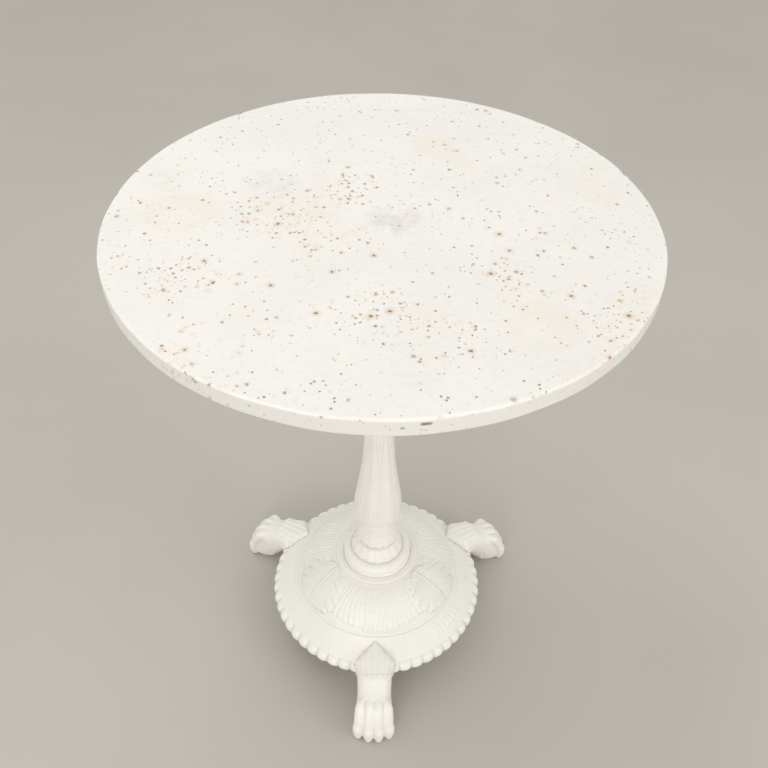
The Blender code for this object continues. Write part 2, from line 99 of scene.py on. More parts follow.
def straight_run(start, end, spacing):
    """Points along a straight line, about one spacing apart."""
    count = max(1, round((end - start).length / spacing))
    return [start.lerp(end, step / count) for step in range(count)] + [end]


def spline_run(points, spacing):
    """Points along a smooth curve through the given ones, about one spacing apart."""
    knots = [Vector(p) for p in points]
    if len(knots) == 2:
        return straight_run(knots[0], knots[1], spacing)
    run = []
    for i in range(len(knots) - 1):
        start, end = knots[i], knots[i + 1]
        before = knots[i - 1] if i > 0 else start * 2.0 - end
        after = knots[i + 2] if i + 2 < len(knots) else end * 2.0 - start
        length = (end - start).length
        leave = (end - before) * (length / max((end - before).length, 1e-9))
        arrive = (after - start) * (length / max((after - start).length, 1e-9))
        count = max(1, round(length / spacing))
        for step in range(count):
            t = step / count
            a = 2.0 * t ** 3 - 3.0 * t ** 2 + 1.0
            b = t ** 3 - 2.0 * t ** 2 + t
            c = -2.0 * t ** 3 + 3.0 * t ** 2
            d = t ** 3 - t ** 2
            run.append(start * a + leave * b + end * c + arrive * d)
    run.append(knots[-1])
    return run


def outline(*stretches):
    """One outline from stretches of (points, spacing), each starting sharply where the last one ended."""
    joined = []
    for points, spacing in stretches:
        joined = joined[:-1] + spline_run(joined[-1:] + list(points), spacing)
    return joined


# Mesh helpers

WELD = 0.000004
HOLLOW_DEPTH = 0.0005
HOLLOW_PASSES = 14


def placed(name, data):
    """A new object in the scene."""
    ob = bpy.data.objects.new(name, data)
    bpy.context.scene.collection.objects.link(ob)
    return ob


def finished(bm, name):
    mesh = bpy.data.meshes.new(name)
    bm.to_mesh(mesh)
    bm.free()
    mesh.shade_smooth()
    return placed(name, mesh)


def spun(name, points, steps, closed=True, sectors=24):
    """A full turn of an outline about Z, made as equal sectors and welded.

    Each vertex keeps its distance along the outline.
    """
    bm = bmesh.new()
    run_layer = bm.verts.layers.float.new("run")
    ring = []
    travelled = 0.0
    for index, point in enumerate(points):
        if index:
            travelled += (point - points[index - 1]).length
        vert = bm.verts.new((point.x, 0.0, point.y))
        vert[run_layer] = travelled
        ring.append(vert)
    edges = [bm.edges.new(pair) for pair in zip(ring, ring[1:])]
    if closed:
        edges.append(bm.edges.new((ring[-1], ring[0])))
    bmesh.ops.spin(bm, geom=ring + edges, cent=(0.0, 0.0, 0.0), axis=(0.0, 0.0, 1.0),
                   angle=2.0 * math.pi / sectors, steps=steps // sectors)
    sector = bpy.data.meshes.new("sector")
    bm.to_mesh(sector)
    bm.clear()
    for _ in range(sectors):
        bm.from_mesh(sector)
        sector.transform(Matrix.Rotation(2.0 * math.pi / sectors, 4, "Z"))
    bpy.data.meshes.remove(sector)
    bmesh.ops.remove_doubles(bm, verts=bm.verts, dist=WELD)
    bmesh.ops.recalc_face_normals(bm, faces=bm.faces)
    return finished(bm, name)


def run_at(points, test):
    """Distance along an outline to its first point that passes the test."""
    travelled = 0.0
    for before, point in zip(points, points[1:]):
        travelled += (point - before).length
        if test(point):
            return travelled
    return travelled


def read_vectors(items, key):
    flat = np.empty(len(items) * 3, np.float32)
    items.foreach_get(key, flat)
    return flat.reshape(-1, 3).astype(float)


def read_form(mesh):
    """Each vertex of a mesh and the way it faces."""
    return read_vectors(mesh.vertices, "co"), read_vectors(mesh.vertex_normals, "vector")


def write_points(mesh, points):
    mesh.vertices.foreach_set("co", points.astype(np.float32).ravel())
    mesh.update()


def read_run(mesh):
    run = np.empty(len(mesh.vertices), np.float32)
    mesh.attributes["run"].data.foreach_get("value", run)
    return run.astype(float)


def polar_of(points):
    """Radius, azimuth in degrees and height of each point."""
    radius = np.hypot(points[:, 0], points[:, 1])
    azimuth = np.degrees(np.arctan2(points[:, 1], points[:, 0]))
    return radius, azimuth, points[:, 2]


def neighbour_mean(edges, values, share):
    """Each vertex moved part of the way to the mean of its neighbours."""
    count = len(values)
    degree = np.bincount(edges.ravel(), minlength=count).clip(1)
    total = np.empty_like(values)
    for axis in range(values.shape[1]):
        total[:, axis] = (np.bincount(edges[:, 0], values[edges[:, 1], axis], count)
                          + np.bincount(edges[:, 1], values[edges[:, 0], axis], count))
    return values + (total / degree[:, None] - values) * share


def add_layer(mesh, name, values):
    """Store one number for each vertex, for a finish to read."""
    layer = mesh.attributes.new(name, "FLOAT", "POINT")
    layer.data.foreach_set("value", values.astype(np.float32))


def mark_hollows(ob, crease_shade=0.0):
    """Store how far each vertex lies below its smoothed surroundings, plus extra painted shade in its
    crevices, for the finish to paint shade in the hollows and light on the ridges.
    """
    mesh = ob.data
    edges = np.empty(len(mesh.edges) * 2, np.int32)
    mesh.edges.foreach_get("vertices", edges)
    edges = edges.reshape(-1, 2)
    points, normals = read_form(mesh)
    soft = points
    for _ in range(HOLLOW_PASSES):
        soft = neighbour_mean(edges, soft, 0.7)
    sunk = np.einsum("ij,ij->i", soft - points, normals)[:, None]
    for _ in range(2):
        sunk = neighbour_mean(edges, sunk, 0.5)
    # Painted shade and light: above zero in hollows and crevices, below zero on ridges
    add_layer(mesh, "relief_shading", np.clip(sunk[:, 0] / HOLLOW_DEPTH + crease_shade, -1.0, 1.0))


def keep_piece(ob, material, node):
    """Finish a new piece: its material, its body and the CAD node it stands for."""
    ob.data.materials.clear()
    ob.data.materials.append(material)
    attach(ob, "root")
    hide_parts(node)


def keep_casting(ob, points, node, crease_shade=0.0):
    """Give a painted piece its final points, mark its hollows and creases for painted shade and finish it."""
    write_points(ob.data, points)
    mark_hollows(ob, crease_shade)
    keep_piece(ob, IRON, node)


# Materials

class Finish:
    """A node material under construction, with short calls for the nodes it needs."""

    def __init__(self, name):
        self.material = bpy.data.materials.new(name)
        self.material.use_nodes = True
        self.tree = self.material.node_tree
        self.shader = self.tree.nodes["Principled BSDF"]
        self.place = self.tree.nodes.new("ShaderNodeTexCoord").outputs["Object"]

    def feed(self, socket, value):
        """Link an input to another node, or set it to a number, a place or a colour."""
        if isinstance(value, bpy.types.NodeSocket):
            self.tree.links.new(value, socket)
        elif socket.type == "RGBA":
            socket.default_value = (*value, 1.0)
        else:
            socket.default_value = value

    def node(self, kind, inputs, **settings):
        """A node with its settings, and its inputs by name or number."""
        made = self.tree.nodes.new(kind)
        for key, value in settings.items():
            setattr(made, key, value)
        for key, value in inputs.items():
            self.feed(made.inputs[key], value)
        return made

    def noise(self, scale, detail=3.0, roughness=0.5, distortion=0.0, place=None):
        inputs = {"Scale": scale, "Detail": detail, "Roughness": roughness, "Distortion": distortion,
                  "Vector": place or self.place}
        return self.node("ShaderNodeTexNoise", inputs).outputs["Fac"]

    def cells(self, scale, place=None):
        return self.node("ShaderNodeTexVoronoi", {"Scale": scale, "Vector": place or self.place}).outputs

    def stretched(self, x, y, z, turn=0.0):
        """The place scaled and turned, for a pattern with a grain."""
        inputs = {"Scale": (x, y, z), "Rotation": (0.0, 0.0, turn), "Vector": self.place}
        return self.node("ShaderNodeMapping", inputs).outputs["Vector"]

    def vector(self, operation, inputs, output="Vector"):
        return self.node("ShaderNodeVectorMath", inputs, operation=operation).outputs[output]

    def ragged(self, scale, reach):
        """The place pushed about by noise, so that round shapes come out uneven."""
        push = self.node("ShaderNodeTexNoise", {"Scale": scale, "Detail": 2.0, "Vector": self.place})
        centred = self.vector("SUBTRACT", {0: push.outputs["Color"], 1: (0.5, 0.5, 0.5)})
        return self.vector("ADD", {0: self.place, 1: self.vector("SCALE", {0: centred, "Scale": reach})})

    def remap(self, value, low, high, out_low=0.0, out_high=1.0):
        inputs = {"Value": value, "From Min": low, "From Max": high, "To Min": out_low, "To Max": out_high}
        return self.node("ShaderNodeMapRange", inputs, interpolation_type="SMOOTHSTEP").outputs["Result"]

    def maths(self, operation, first, second=0.0):
        return self.node("ShaderNodeMath", {0: first, 1: second}, operation=operation).outputs[0]

    def mix(self, share, first, second):
        """Mix two colours; each may be a colour tuple or a socket."""
        return self.node("ShaderNodeMix", {0: share, 6: first, 7: second}, data_type="RGBA").outputs[2]

    def tinted(self, tone, share, strength, colour):
        """A tone with some of a colour in it where share is high."""
        return self.mix(self.maths("MULTIPLY", share, strength), tone, colour)

    def most(self, *values):
        """The greatest of several values."""
        greatest = values[0]
        for value in values[1:]:
            greatest = self.maths("MAXIMUM", greatest, value)
        return greatest

    def attribute(self, name):
        return self.node("ShaderNodeAttribute", {}, attribute_name=name).outputs["Fac"]

    def bumps(self, *layers):
        """Chain bump nodes from (height, strength, distance) and feed the shader's normal."""
        normal = None
        for height, strength, distance in layers:
            inputs = {"Strength": strength, "Distance": distance, "Height": height}
            if normal:
                inputs["Normal"] = normal
            normal = self.node("ShaderNodeBump", inputs).outputs["Normal"]
        self.feed(self.shader.inputs["Normal"], normal)

    def surface(self, colour, roughness):
        self.feed(self.shader.inputs["Base Color"], colour)
        self.feed(self.shader.inputs["Roughness"], roughness)

    def constant(self, **values):
        for key, value in values.items():
            self.shader.inputs[key.replace("_", " ")].default_value = value


def painted_iron():
    """Thick warm-white satin paint over an old casting, with painted shade grey in its hollows and painted
    light on its raised relief.
    """
    f = Finish("painted_iron")
    relief_shading = f.attribute("relief_shading")
    tone = f.mix(f.remap(f.noise(9.0, 4.0), 0.35, 0.65), (0.880, 0.865, 0.830), (0.850, 0.836, 0.800))
    tone = f.mix(f.remap(f.noise(70.0, 3.0), 0.55, 0.75, 0.0, 0.35), tone, (0.800, 0.775, 0.715))
    # Painted shade: greyer in the hollows and creases of the relief
    tone = f.mix(f.remap(relief_shading, 0.10, 1.0, 0.0, 0.42), tone, (0.600, 0.585, 0.545))
    # Painted light: lighter on the raised relief
    tone = f.mix(f.remap(relief_shading, -0.15, -0.9, 0.0, 0.5), tone, (0.900, 0.890, 0.855))
    specks = f.cells(160.0)
    dot = f.maths("LESS_THAN", specks["Distance"], 0.085)
    rare = f.remap(f.noise(22.0, 2.0), 0.60, 0.68)
    tone = f.tinted(tone, f.maths("MULTIPLY", dot, rare), 0.5, (0.330, 0.250, 0.180))
    f.surface(tone, f.remap(f.noise(45.0, 3.0), 0.3, 0.7, 0.34, 0.50))
    f.bumps((f.noise(28.0, 3.0), 0.25, 0.0012), (f.noise(260.0, 3.0), 0.18, 0.0003))
    f.constant(Specular_IOR_Level=0.5)
    return f.material


def zinc_steel():
    f = Finish("zinc_steel")
    grain = f.noise(1.0, 3.0, place=f.stretched(900.0, 900.0, 120.0))
    tone = f.mix(f.remap(f.noise(120.0, 3.0), 0.35, 0.7), (0.56, 0.57, 0.58), (0.43, 0.43, 0.42))
    tone = f.mix(f.remap(f.noise(60.0, 4.0), 0.58, 0.70, 0.0, 0.6), tone, (0.36, 0.27, 0.19))
    f.surface(tone, f.remap(grain, 0.3, 0.7, 0.30, 0.48))
    f.bumps((grain, 0.15, 0.0001))
    f.constant(Metallic=1.0)
    return f.material


def insert_brass():
    f = Finish("insert_brass")
    grain = f.noise(1.0, 3.0, place=f.stretched(300.0, 300.0, 2500.0))
    tone = f.mix(f.remap(f.noise(200.0, 3.0), 0.35, 0.7), (0.72, 0.55, 0.25), (0.52, 0.38, 0.17))
    f.surface(tone, f.remap(grain, 0.3, 0.7, 0.26, 0.42))
    f.bumps((grain, 0.2, 0.0001))
    f.constant(Metallic=1.0)
    return f.material


def pressed_felt():
    f = Finish("pressed_felt")
    fibres = f.noise(1400.0, 4.0, 0.7)
    tone = f.mix(f.remap(fibres, 0.3, 0.7), (0.16, 0.16, 0.155), (0.30, 0.295, 0.285))
    f.surface(tone, f.remap(fibres, 0.2, 0.8, 0.88, 1.0))
    f.bumps((fibres, 0.6, 0.0004))
    f.constant(Sheen_Weight=0.3)
    return f.material


def near(f, place, x, y, reach):
    """1 at a spot on the slab, falling to 0 at its reach."""
    gap = f.vector("DISTANCE", {0: place, 1: (x, y, TOP_HIGH.z)}, "Value")
    return f.remap(gap, reach * 0.35, reach, 1.0, 0.0)


def pits(f, place, scale, radius, chance, gathered, crowd):
    """Round pits in a few cells, in more of them where the stone is crowded."""
    found = f.cells(scale, place)
    split = f.node("ShaderNodeSeparateColor", {"Color": found["Color"]})
    share = f.maths("ADD", f.maths("MULTIPLY", crowd, gathered), chance)
    chosen = f.maths("LESS_THAN", split.outputs["Red"], share)
    size = f.maths("MULTIPLY", f.maths("ADD", f.maths("MULTIPLY", split.outputs["Green"], 1.1), 0.45), radius)
    ratio = f.maths("DIVIDE", found["Distance"], size)
    filled = f.maths("ADD", f.maths("MULTIPLY", split.outputs["Blue"], 0.60), 0.45)
    return f.maths("MULTIPLY", f.maths("MULTIPLY", chosen, filled), f.remap(ratio, 0.65, 1.15, 1.0, 0.0))


# Places on the slab as x, y and reach; a smudge also has its strength
PIT_CLUSTERS = (
    (-0.125, 0.000, 0.060), (-0.195, -0.110, 0.045), (0.000, -0.160, 0.060),
    (0.115, -0.090, 0.040), (0.225, -0.165, 0.050), (0.060, -0.200, 0.050),
    (-0.040, 0.060, 0.050), (-0.180, -0.235, 0.040), (-0.070, -0.020, 0.045),
)
LARGE_PITS = (
    (0.123, -0.022, 0.0030), (0.131, -0.052, 0.0026), (0.109, -0.092, 0.0030), (0.135, -0.088, 0.0022),
    (-0.109, -0.118, 0.0028), (0.236, -0.155, 0.0032), (-0.112, -0.011, 0.0030), (0.199, -0.045, 0.0022),
    (0.008, -0.155, 0.0030), (-0.009, -0.065, 0.0026), (-0.050, -0.094, 0.0026), (0.185, -0.126, 0.0026),
    (0.082, -0.210, 0.0026), (0.028, 0.189, 0.0018), (-0.033, 0.246, 0.0018), (-0.042, 0.109, 0.0022),
    (-0.014, 0.090, 0.0018), (-0.062, -0.160, 0.0026), (-0.010, -0.163, 0.0028), (-0.180, -0.080, 0.0026),
    (-0.136, 0.014, 0.0020), (-0.098, 0.008, 0.0020), (-0.150, -0.008, 0.0018), (0.208, -0.215, 0.0026),
)
# Scattered pits: cells to a metre, radius in cells, share of cells with a pit, and its rise where they gather
PIT_SIZES = (
    (70.0, 0.140, 0.07, 0.75),
    (120.0, 0.155, 0.15, 0.85),
    (230.0, 0.170, 0.18, 0.60),
)
YELLOWED = ((-0.220, 0.010, 0.060), (0.060, 0.160, 0.040), (-0.100, 0.020, 0.070), (0.150, -0.170, 0.050))
SMUDGES = ((0.015, 0.000, 0.040, 0.42), (-0.130, 0.070, 0.045, 0.25), (-0.250, 0.075, 0.030, 0.25))


def marble_ground(f):
    """Cloudy white with yellowed patches, faint streaks and a few grey smudges."""
    clouds = f.remap(f.noise(7.0, 5.0, 0.6, 0.6), 0.35, 0.68)
    tone = f.mix(clouds, (0.900, 0.884, 0.850), (0.868, 0.854, 0.824))
    tone = f.mix(f.remap(f.noise(130.0, 4.0, 0.65), 0.45, 0.70, 0.0, 0.45), tone, (0.820, 0.800, 0.762))
    warm = f.remap(f.noise(11.0, 3.0, 0.5, 0.3), 0.56, 0.72, 0.0, 0.45)
    for x, y, reach in YELLOWED:
        uneven = f.remap(f.noise(28.0, 4.0), 0.35, 0.65, 0.1, 0.7)
        warm = f.most(warm, f.maths("MULTIPLY", near(f, f.place, x, y, reach), uneven))
    tone = f.mix(warm, tone, (0.865, 0.815, 0.715))
    streaks = f.noise(1.0, 5.0, 0.6, 0.4, f.stretched(14.0, 60.0, 20.0, 0.2))
    tone = f.mix(f.remap(streaks, 0.60, 0.80, 0.0, 0.28), tone, (0.700, 0.690, 0.665))
    for x, y, reach, strength in SMUDGES:
        broken = f.remap(f.noise(50.0, 5.0, 0.7), 0.38, 0.62)
        cloud = f.maths("MULTIPLY", near(f, f.place, x, y, reach), broken)
        tone = f.tinted(tone, cloud, strength, (0.600, 0.575, 0.535))
    return tone


def rust_pits(f, uneven, crowd):
    """The dark middle and the stained surround of the named pits and of three sizes of scattered ones."""
    core = f.most(*[near(f, uneven, x, y, reach * 0.95) for x, y, reach in LARGE_PITS])
    halo = f.most(*[near(f, uneven, x, y, reach * 2.6) for x, y, reach in LARGE_PITS])
    for scale, radius, chance, gathered in PIT_SIZES:
        core = f.most(core, pits(f, uneven, scale, radius, chance, gathered, crowd))
        halo = f.most(halo, pits(f, uneven, scale, radius * 1.8, chance, gathered, crowd))
    return core, halo


def white_marble():
    """Old honed marble with rust pits that gather in places."""
    f = Finish("white_marble")
    crowd = f.most(*[near(f, f.place, x, y, reach) for x, y, reach in PIT_CLUSTERS])
    crowd = f.maths("MULTIPLY", crowd, f.remap(f.noise(30.0, 2.0), 0.35, 0.6, 0.35, 1.0))
    uneven = f.ragged(380.0, 0.0034)
    core, halo = rust_pits(f, uneven, crowd)
    grey_pits = pits(f, uneven, 110.0, 0.16, 0.18, 0.15, crowd)
    tone = f.tinted(marble_ground(f), grey_pits, 0.35, (0.600, 0.585, 0.560))
    tone = f.tinted(tone, halo, 0.50, (0.770, 0.590, 0.400))
    rust = f.mix(f.remap(f.noise(90.0, 2.0), 0.40, 0.62), (0.300, 0.185, 0.110), (0.170, 0.120, 0.085))
    tone = f.tinted(tone, core, 0.85, rust)
    # Painted shade: the slab's side face darker than its top
    tone = f.tinted(tone, f.attribute("side"), 0.55, (0.690, 0.675, 0.640))
    chipped = f.attribute("chip")
    tone = f.tinted(tone, chipped, 0.45, (0.700, 0.670, 0.610))
    tone = f.mix(f.attribute("stain"), tone, (0.190, 0.120, 0.070))
    honed = f.remap(f.noise(35.0, 3.0), 0.3, 0.7, 0.34, 0.48)
    dull = f.most(core, chipped, f.attribute("edge"))
    f.surface(tone, f.most(honed, f.maths("MULTIPLY", dull, 0.75)))
    sunk = f.maths("SUBTRACT", 1.0, core)
    f.bumps((f.noise(14.0, 3.0), 0.12, 0.0010), (f.noise(420.0, 4.0), 0.12, 0.00012), (sunk, 0.6, 0.0006))
    f.constant(Subsurface_Weight=0.05, Subsurface_Scale=0.004)
    return f.material


# Marble top

# Chips in the upper arris: azimuth, reach and depth
CHIPS = (
    (21.0, 0.0065, 0.0040), (75.0, 0.0040, 0.0022), (96.0, 0.0034, 0.0018), (128.0, 0.0060, 0.0024),
    (50.0, 0.0050, 0.0016), (-148.0, 0.0040, 0.0016), (-118.0, 0.0034, 0.0014), (-80.0, 0.0050, 0.0016),
    (-62.0, 0.0040, 0.0018), (-41.0, 0.0045, 0.0020), (-18.0, 0.0035, 0.0016), (172.0, 0.0045, 0.0018),
)
SMALL_CHIPS = 60
# Rust on the edge: azimuth, depth below the top, half width and half height
EDGE_STAINS = (
    (-82.4, 0.0060, 0.0050, 0.0022),
    (-86.2, 0.0095, 0.0026, 0.0016),
    (-112.0, 0.0080, 0.0018, 0.0010),
)
TOP_EASE, LOW_EASE = 0.0026, 0.0016


def slab_outline():
    """Half of the slab's section, from the middle of the top to the middle of the underside."""
    top, low, out = TOP_HIGH.z, TOP_LOW.z, TOP_RADIUS
    upper = [(out - TOP_EASE + TOP_EASE * math.sin(a), top - TOP_EASE + TOP_EASE * math.cos(a))
             for a in np.linspace(0.0, math.pi / 2.0, 9)]
    lower = [(out - LOW_EASE + LOW_EASE * math.cos(a), low + LOW_EASE - LOW_EASE * math.sin(a))
             for a in np.linspace(0.0, math.pi / 2.0, 6)]
    points = [Vector((r, top)) for r in (0.0, 0.10, 0.20, 0.265, 0.285)]
    points += spline_run([(0.2905, top), upper[0]], 0.0010)
    points += [Vector(p) for p in upper[1:]]
    points += spline_run([upper[-1], lower[0]], 0.0011)[1:]
    points += [Vector(p) for p in lower[1:]]
    points += [Vector((r, low)) for r in (0.290, 0.24, 0.12, 0.0)]
    return points


def along_edge(azimuth, where):
    """Distance round the edge of the slab from an azimuth."""
    return np.radians(wrapped(azimuth - where, 360.0)) * TOP_RADIUS


def arris_chips(radius, azimuth, height):
    """How far each point lies in a chip, from 0 to 1, and how deep it is cut."""
    rng = random.Random(7)
    small = [(rng.uniform(-180.0, 180.0), rng.uniform(0.0012, 0.0028), rng.uniform(0.0004, 0.0011))
             for _ in range(SMALL_CHIPS)]
    chip = np.zeros(len(radius))
    cut = np.zeros(len(radius))
    for where, reach, depth in CHIPS + tuple(small):
        along = along_edge(azimuth, where)
        wobble = 0.25 * np.sin(along * 1900.0 + where) + 0.18 * np.sin(height * 4100.0 + where * 2.0)
        far = np.sqrt((along / reach) ** 2 + ((height - TOP_HIGH.z) / (reach * 0.55)) ** 2
                      + ((radius - TOP_RADIUS) / (reach * 0.6)) ** 2) + wobble * 0.35
        share = ease(1.0, 0.35, far)
        cut = np.maximum(cut, share * depth)
        chip = np.maximum(chip, share)
    near_edge = np.where(radius > TOP_RADIUS - 0.008, 1.0, 0.0)
    return chip * near_edge, cut * near_edge


def edge_stains(radius, azimuth, height):
    stain = np.zeros(len(radius))
    for where, drop, width, tall in EDGE_STAINS:
        along = along_edge(azimuth, where)
        uneven = 0.15 * np.sin(along * 800.0 + 1.0) + 0.10 * np.sin(height * 900.0)
        far = np.sqrt((along / width) ** 2 + ((height - TOP_HIGH.z + drop) / tall) ** 2) + uneven
        stain = np.maximum(stain, ease(1.15, 0.55, far) * (radius > TOP_RADIUS - 0.002))
    return stain * 0.85


def marble_slab():
    """The slab with its eased arrises, small chips and rust stains on the front edge."""
    slab = spun("marble_slab", slab_outline(), 1440, closed=False)
    mesh = slab.data
    co, _ = read_form(mesh)
    radius, azimuth, height = polar_of(co)
    chip, cut = arris_chips(radius, azimuth, height)
    outward = co[:, :2] / np.maximum(radius, 1e-6)[:, None]
    out_and_up = np.column_stack([outward, np.full(len(co), 0.75)]) / 1.25
    co -= out_and_up * cut[:, None]
    waver = 0.00025 * np.sin(np.radians(azimuth) * 9.0) + 0.00018 * np.sin(np.radians(azimuth) * 23.0 + 1.0)
    edge = ease(0.292, 0.2985, radius)
    co[:, :2] *= (1.0 - (waver + 0.0003) * edge / TOP_RADIUS)[:, None]
    write_points(mesh, co)
    on_side = ease(TOP_HIGH.z - 0.0012, TOP_HIGH.z - 0.0032, height)
    add_layer(mesh, "chip", chip)
    add_layer(mesh, "stain", edge_stains(radius, azimuth, height))
    add_layer(mesh, "edge", ease(TOP_RADIUS - 0.012, TOP_RADIUS - 0.003, radius))
    # Where the slab's side face gets its painted shade
    add_layer(mesh, "side", on_side * ease(TOP_RADIUS - 0.004, TOP_RADIUS - 0.001, radius))
    keep_piece(slab, white_marble(), "marble_top")


# Dish

BAND_INNER, BAND_INNER_HEIGHT, BAND_SLOPE = 0.1285, 0.0885, -0.83
DOME_START, DOME_END = 0.0625, 0.1195
DOME_DEPTH = 1.5
SCROLL_RADIUS, SCROLL_AZIMUTH = 0.0752, 18.5
SCALLOP_DEPTH, SCALLOP_DIP = 0.0029, 0.0008
BAR_START, BAR_PITCH, BAR_COUNT = -50.5, 3.3, 7


def band_height(radius):
    return BAND_INNER_HEIGHT + (radius - BAND_INNER) * BAND_SLOPE


def dish_outline():
    """Outside from the seat to the rim, then the underside back to the rod hole."""
    low, flange = DISH_LOW.z, DISH_HIGH.z
    seat = [((ROD_HOLE, DISH_SEAT), (0.0505, DISH_SEAT)), 0.0060]
    ring = [((0.0507, flange - 0.0006), (0.0515, flange - 0.0001), (0.0560, flange - 0.0001),
             (0.0592, flange - 0.0004), (0.0602, flange - 0.0012), (0.0607, flange - 0.0018)), 0.0009]
    dome = [((0.0625, 0.1379), (0.0665, 0.1373), (0.0710, 0.1359), (0.0775, 0.1338), (0.0860, 0.1300),
             (0.0940, 0.1247), (0.1020, 0.1178), (0.1090, 0.1104), (0.1150, 0.1030),
             (0.1188, 0.0978)), 0.0011]
    beads = [((0.1197, 0.0974), (0.1207, 0.0968), (0.1214, 0.0954), (0.1219, 0.0941), (0.1228, 0.0940),
              (0.1240, 0.0938), (0.1254, 0.0926), (0.1266, 0.0906), (0.1274, 0.0894),
              (0.1290, band_height(0.1290))), 0.0008]
    band = [((0.1500, band_height(0.1500)),), 0.0020]
    rim = [((0.1520, 0.0692), (0.1545, 0.0685), (0.1572, 0.0668), (RIM_RADIUS - 0.0012, low + 0.0106),
            (RIM_RADIUS, low + 0.0066), (RIM_RADIUS - 0.0007, low + 0.0027),
            (RIM_RADIUS - 0.0028, low + 0.0003), (RIM_RADIUS - 0.0050, low)), 0.0009]
    under = [((0.1542, low + 0.0006), (0.1515, 0.0600), (0.1460, 0.0650), (0.1350, 0.0740),
              (0.1200, 0.0865), (0.1080, 0.1010), (0.0950, 0.1130), (0.0800, 0.1225), (0.0660, 0.1302),
              (0.0300, 0.1302), (0.0220, 0.1276)), 0.0080]
    hole = [((ROD_HOLE, 0.1276), (ROD_HOLE, DISH_SEAT)), 0.0060]
    return outline(seat, ring, dome, beads, band, rim, under, hole)


def acanthus(lateral, t):
    """Height and cover of one broad leaf with a double midrib, lobed edge and slanting veins."""
    side = np.abs(lateral)
    spread = 0.0060 + 0.0370 * ease(-0.05, 0.62, t) - 0.0050 * ease(0.80, 1.0, t)
    lobe_phase = (t * 0.057 - side * 0.50) / 0.0108
    lobe = np.abs(np.sin(np.pi * lobe_phase))
    width = spread * (0.82 + 0.18 * lobe ** 0.6)
    end = 0.990 - 0.10 * (side / 0.040) ** 2 + 0.025 * np.abs(np.cos(np.pi * side / 0.0085))
    cover = ease(-0.0008, 0.0012, width - side) * ease(0.012, -0.012, t - end)
    share = np.clip(side / np.maximum(width, 1e-5), 0.0, 1.0)
    body = 0.0007 + 0.0007 * np.sin(np.pi * np.clip(share * 0.92, 0.0, 1.0))
    rib_gap = 0.0021 - 0.0005 * t
    ribs = 0.0010 * bump(rib_gap, 0.00095, side) * ease(1.0, 0.80, t)
    groove = -0.0005 * bump(0.0, 0.0009, side)
    vein_phase = (t * 0.057 - side * 0.72 - 6.0 * side ** 2) / 0.0036
    vein = (0.5 + 0.5 * np.cos(2.0 * np.pi * vein_phase)) ** 1.6
    veins = 0.00062 * vein * ease(0.0034, 0.0065, side) * ease(1.0, 0.84, share)
    lobe_fold = -0.0007 * (1.0 - lobe) ** 2.5 * ease(0.35, 0.8, share)
    return body + ribs + groove + veins + lobe_fold, cover


def plume(psi, t):
    """Height and cover of the fan of long soft flutes over each foot."""
    bend = psi + 2.4 * np.sin(np.radians(psi) * 2.6) * (1.0 - t) + 1.2 * np.sin(t * 7.0 + psi * 0.11)
    phase = bend / 4.1
    number = np.round(phase)
    flute = np.abs(np.cos(np.pi * phase)) ** 0.9
    own = 0.75 + 0.25 * np.sin(number * 2.3)
    reach = 0.930 - 0.00008 * psi ** 2 + 0.045 * flute * own - 0.020 * np.mod(number, 2.0)
    cover = ease(0.022, -0.022, t - reach) * ease(0.05, 0.20, t)
    barbs = np.cos(2.0 * np.pi * (t * 8.0 - np.abs(wrapped(phase, 1.0)) * 1.3))
    height = 0.0004 + 0.00075 * flute * own + 0.00012 * barbs * flute
    return height, cover


def dish_relief(radius, azimuth, on_top):
    """Raised work of the dish, measured out from its plain turned face."""
    t = (radius - DOME_START) / (DOME_END - DOME_START)
    on_dome = on_top * ease(0.03, 0.10, t) * ease(1.0, 0.97, t)
    slant = 5.0 * (t - 0.6)
    phi = wrapped(azimuth - 90.0 - slant, FEET_APART)
    psi = wrapped(azimuth - 30.0, FEET_APART)
    leaf, leaf_cover = acanthus(radius * np.sin(np.radians(phi)), t)
    leaf_cover = leaf_cover * (np.abs(phi) < 45.0)
    fan, fan_cover = plume(psi, t)
    relief = fan * fan_cover
    relief = relief * (1.0 - leaf_cover) + (leaf + 0.0002) * leaf_cover
    for side in (-1.0, 1.0):
        across = radius * np.radians(wrapped(azimuth - 90.0 - side * SCROLL_AZIMUTH, FEET_APART))
        away = np.hypot(across, radius - SCROLL_RADIUS)
        turn = np.arctan2(radius - SCROLL_RADIUS, across * side)
        coil = np.cos(2.0 * np.pi * (away / 0.0040 - turn / (2.0 * np.pi)))
        scroll = 0.0010 + 0.0003 * coil + 0.0004 * bump(0.0, 0.0014, away)
        cover = ease(0.0078, 0.0062, away)
        relief = relief * (1.0 - cover) + scroll * cover
    relief = relief * on_dome * DOME_DEPTH
    on_band = on_top * ease(0.1290, 0.1330, radius) * ease(0.1530, 0.1470, radius)
    drift = 0.65 + 0.35 * np.sin(np.radians(azimuth) * 5.0 + 1.0)
    relief = relief + on_band * 0.00022 * drift * np.cos(np.radians(azimuth) * RIM_SCALLOPS * 2.0)
    return relief + on_top * plain_bars(radius, azimuth)


def plain_bars(radius, azimuth):
    """A short row of plain raised bars on the band, to the right of the front foot."""
    along = azimuth - BAR_START
    row = ease(-0.5, 0.5, along) * ease(0.5, -0.5, along - BAR_PITCH * BAR_COUNT)
    bars = 0.5 - 0.5 * np.cos(2.0 * np.pi * along / BAR_PITCH)
    return 0.0009 * bars * row * ease(0.1325, 0.1345, radius) * ease(0.1425, 0.1405, radius)


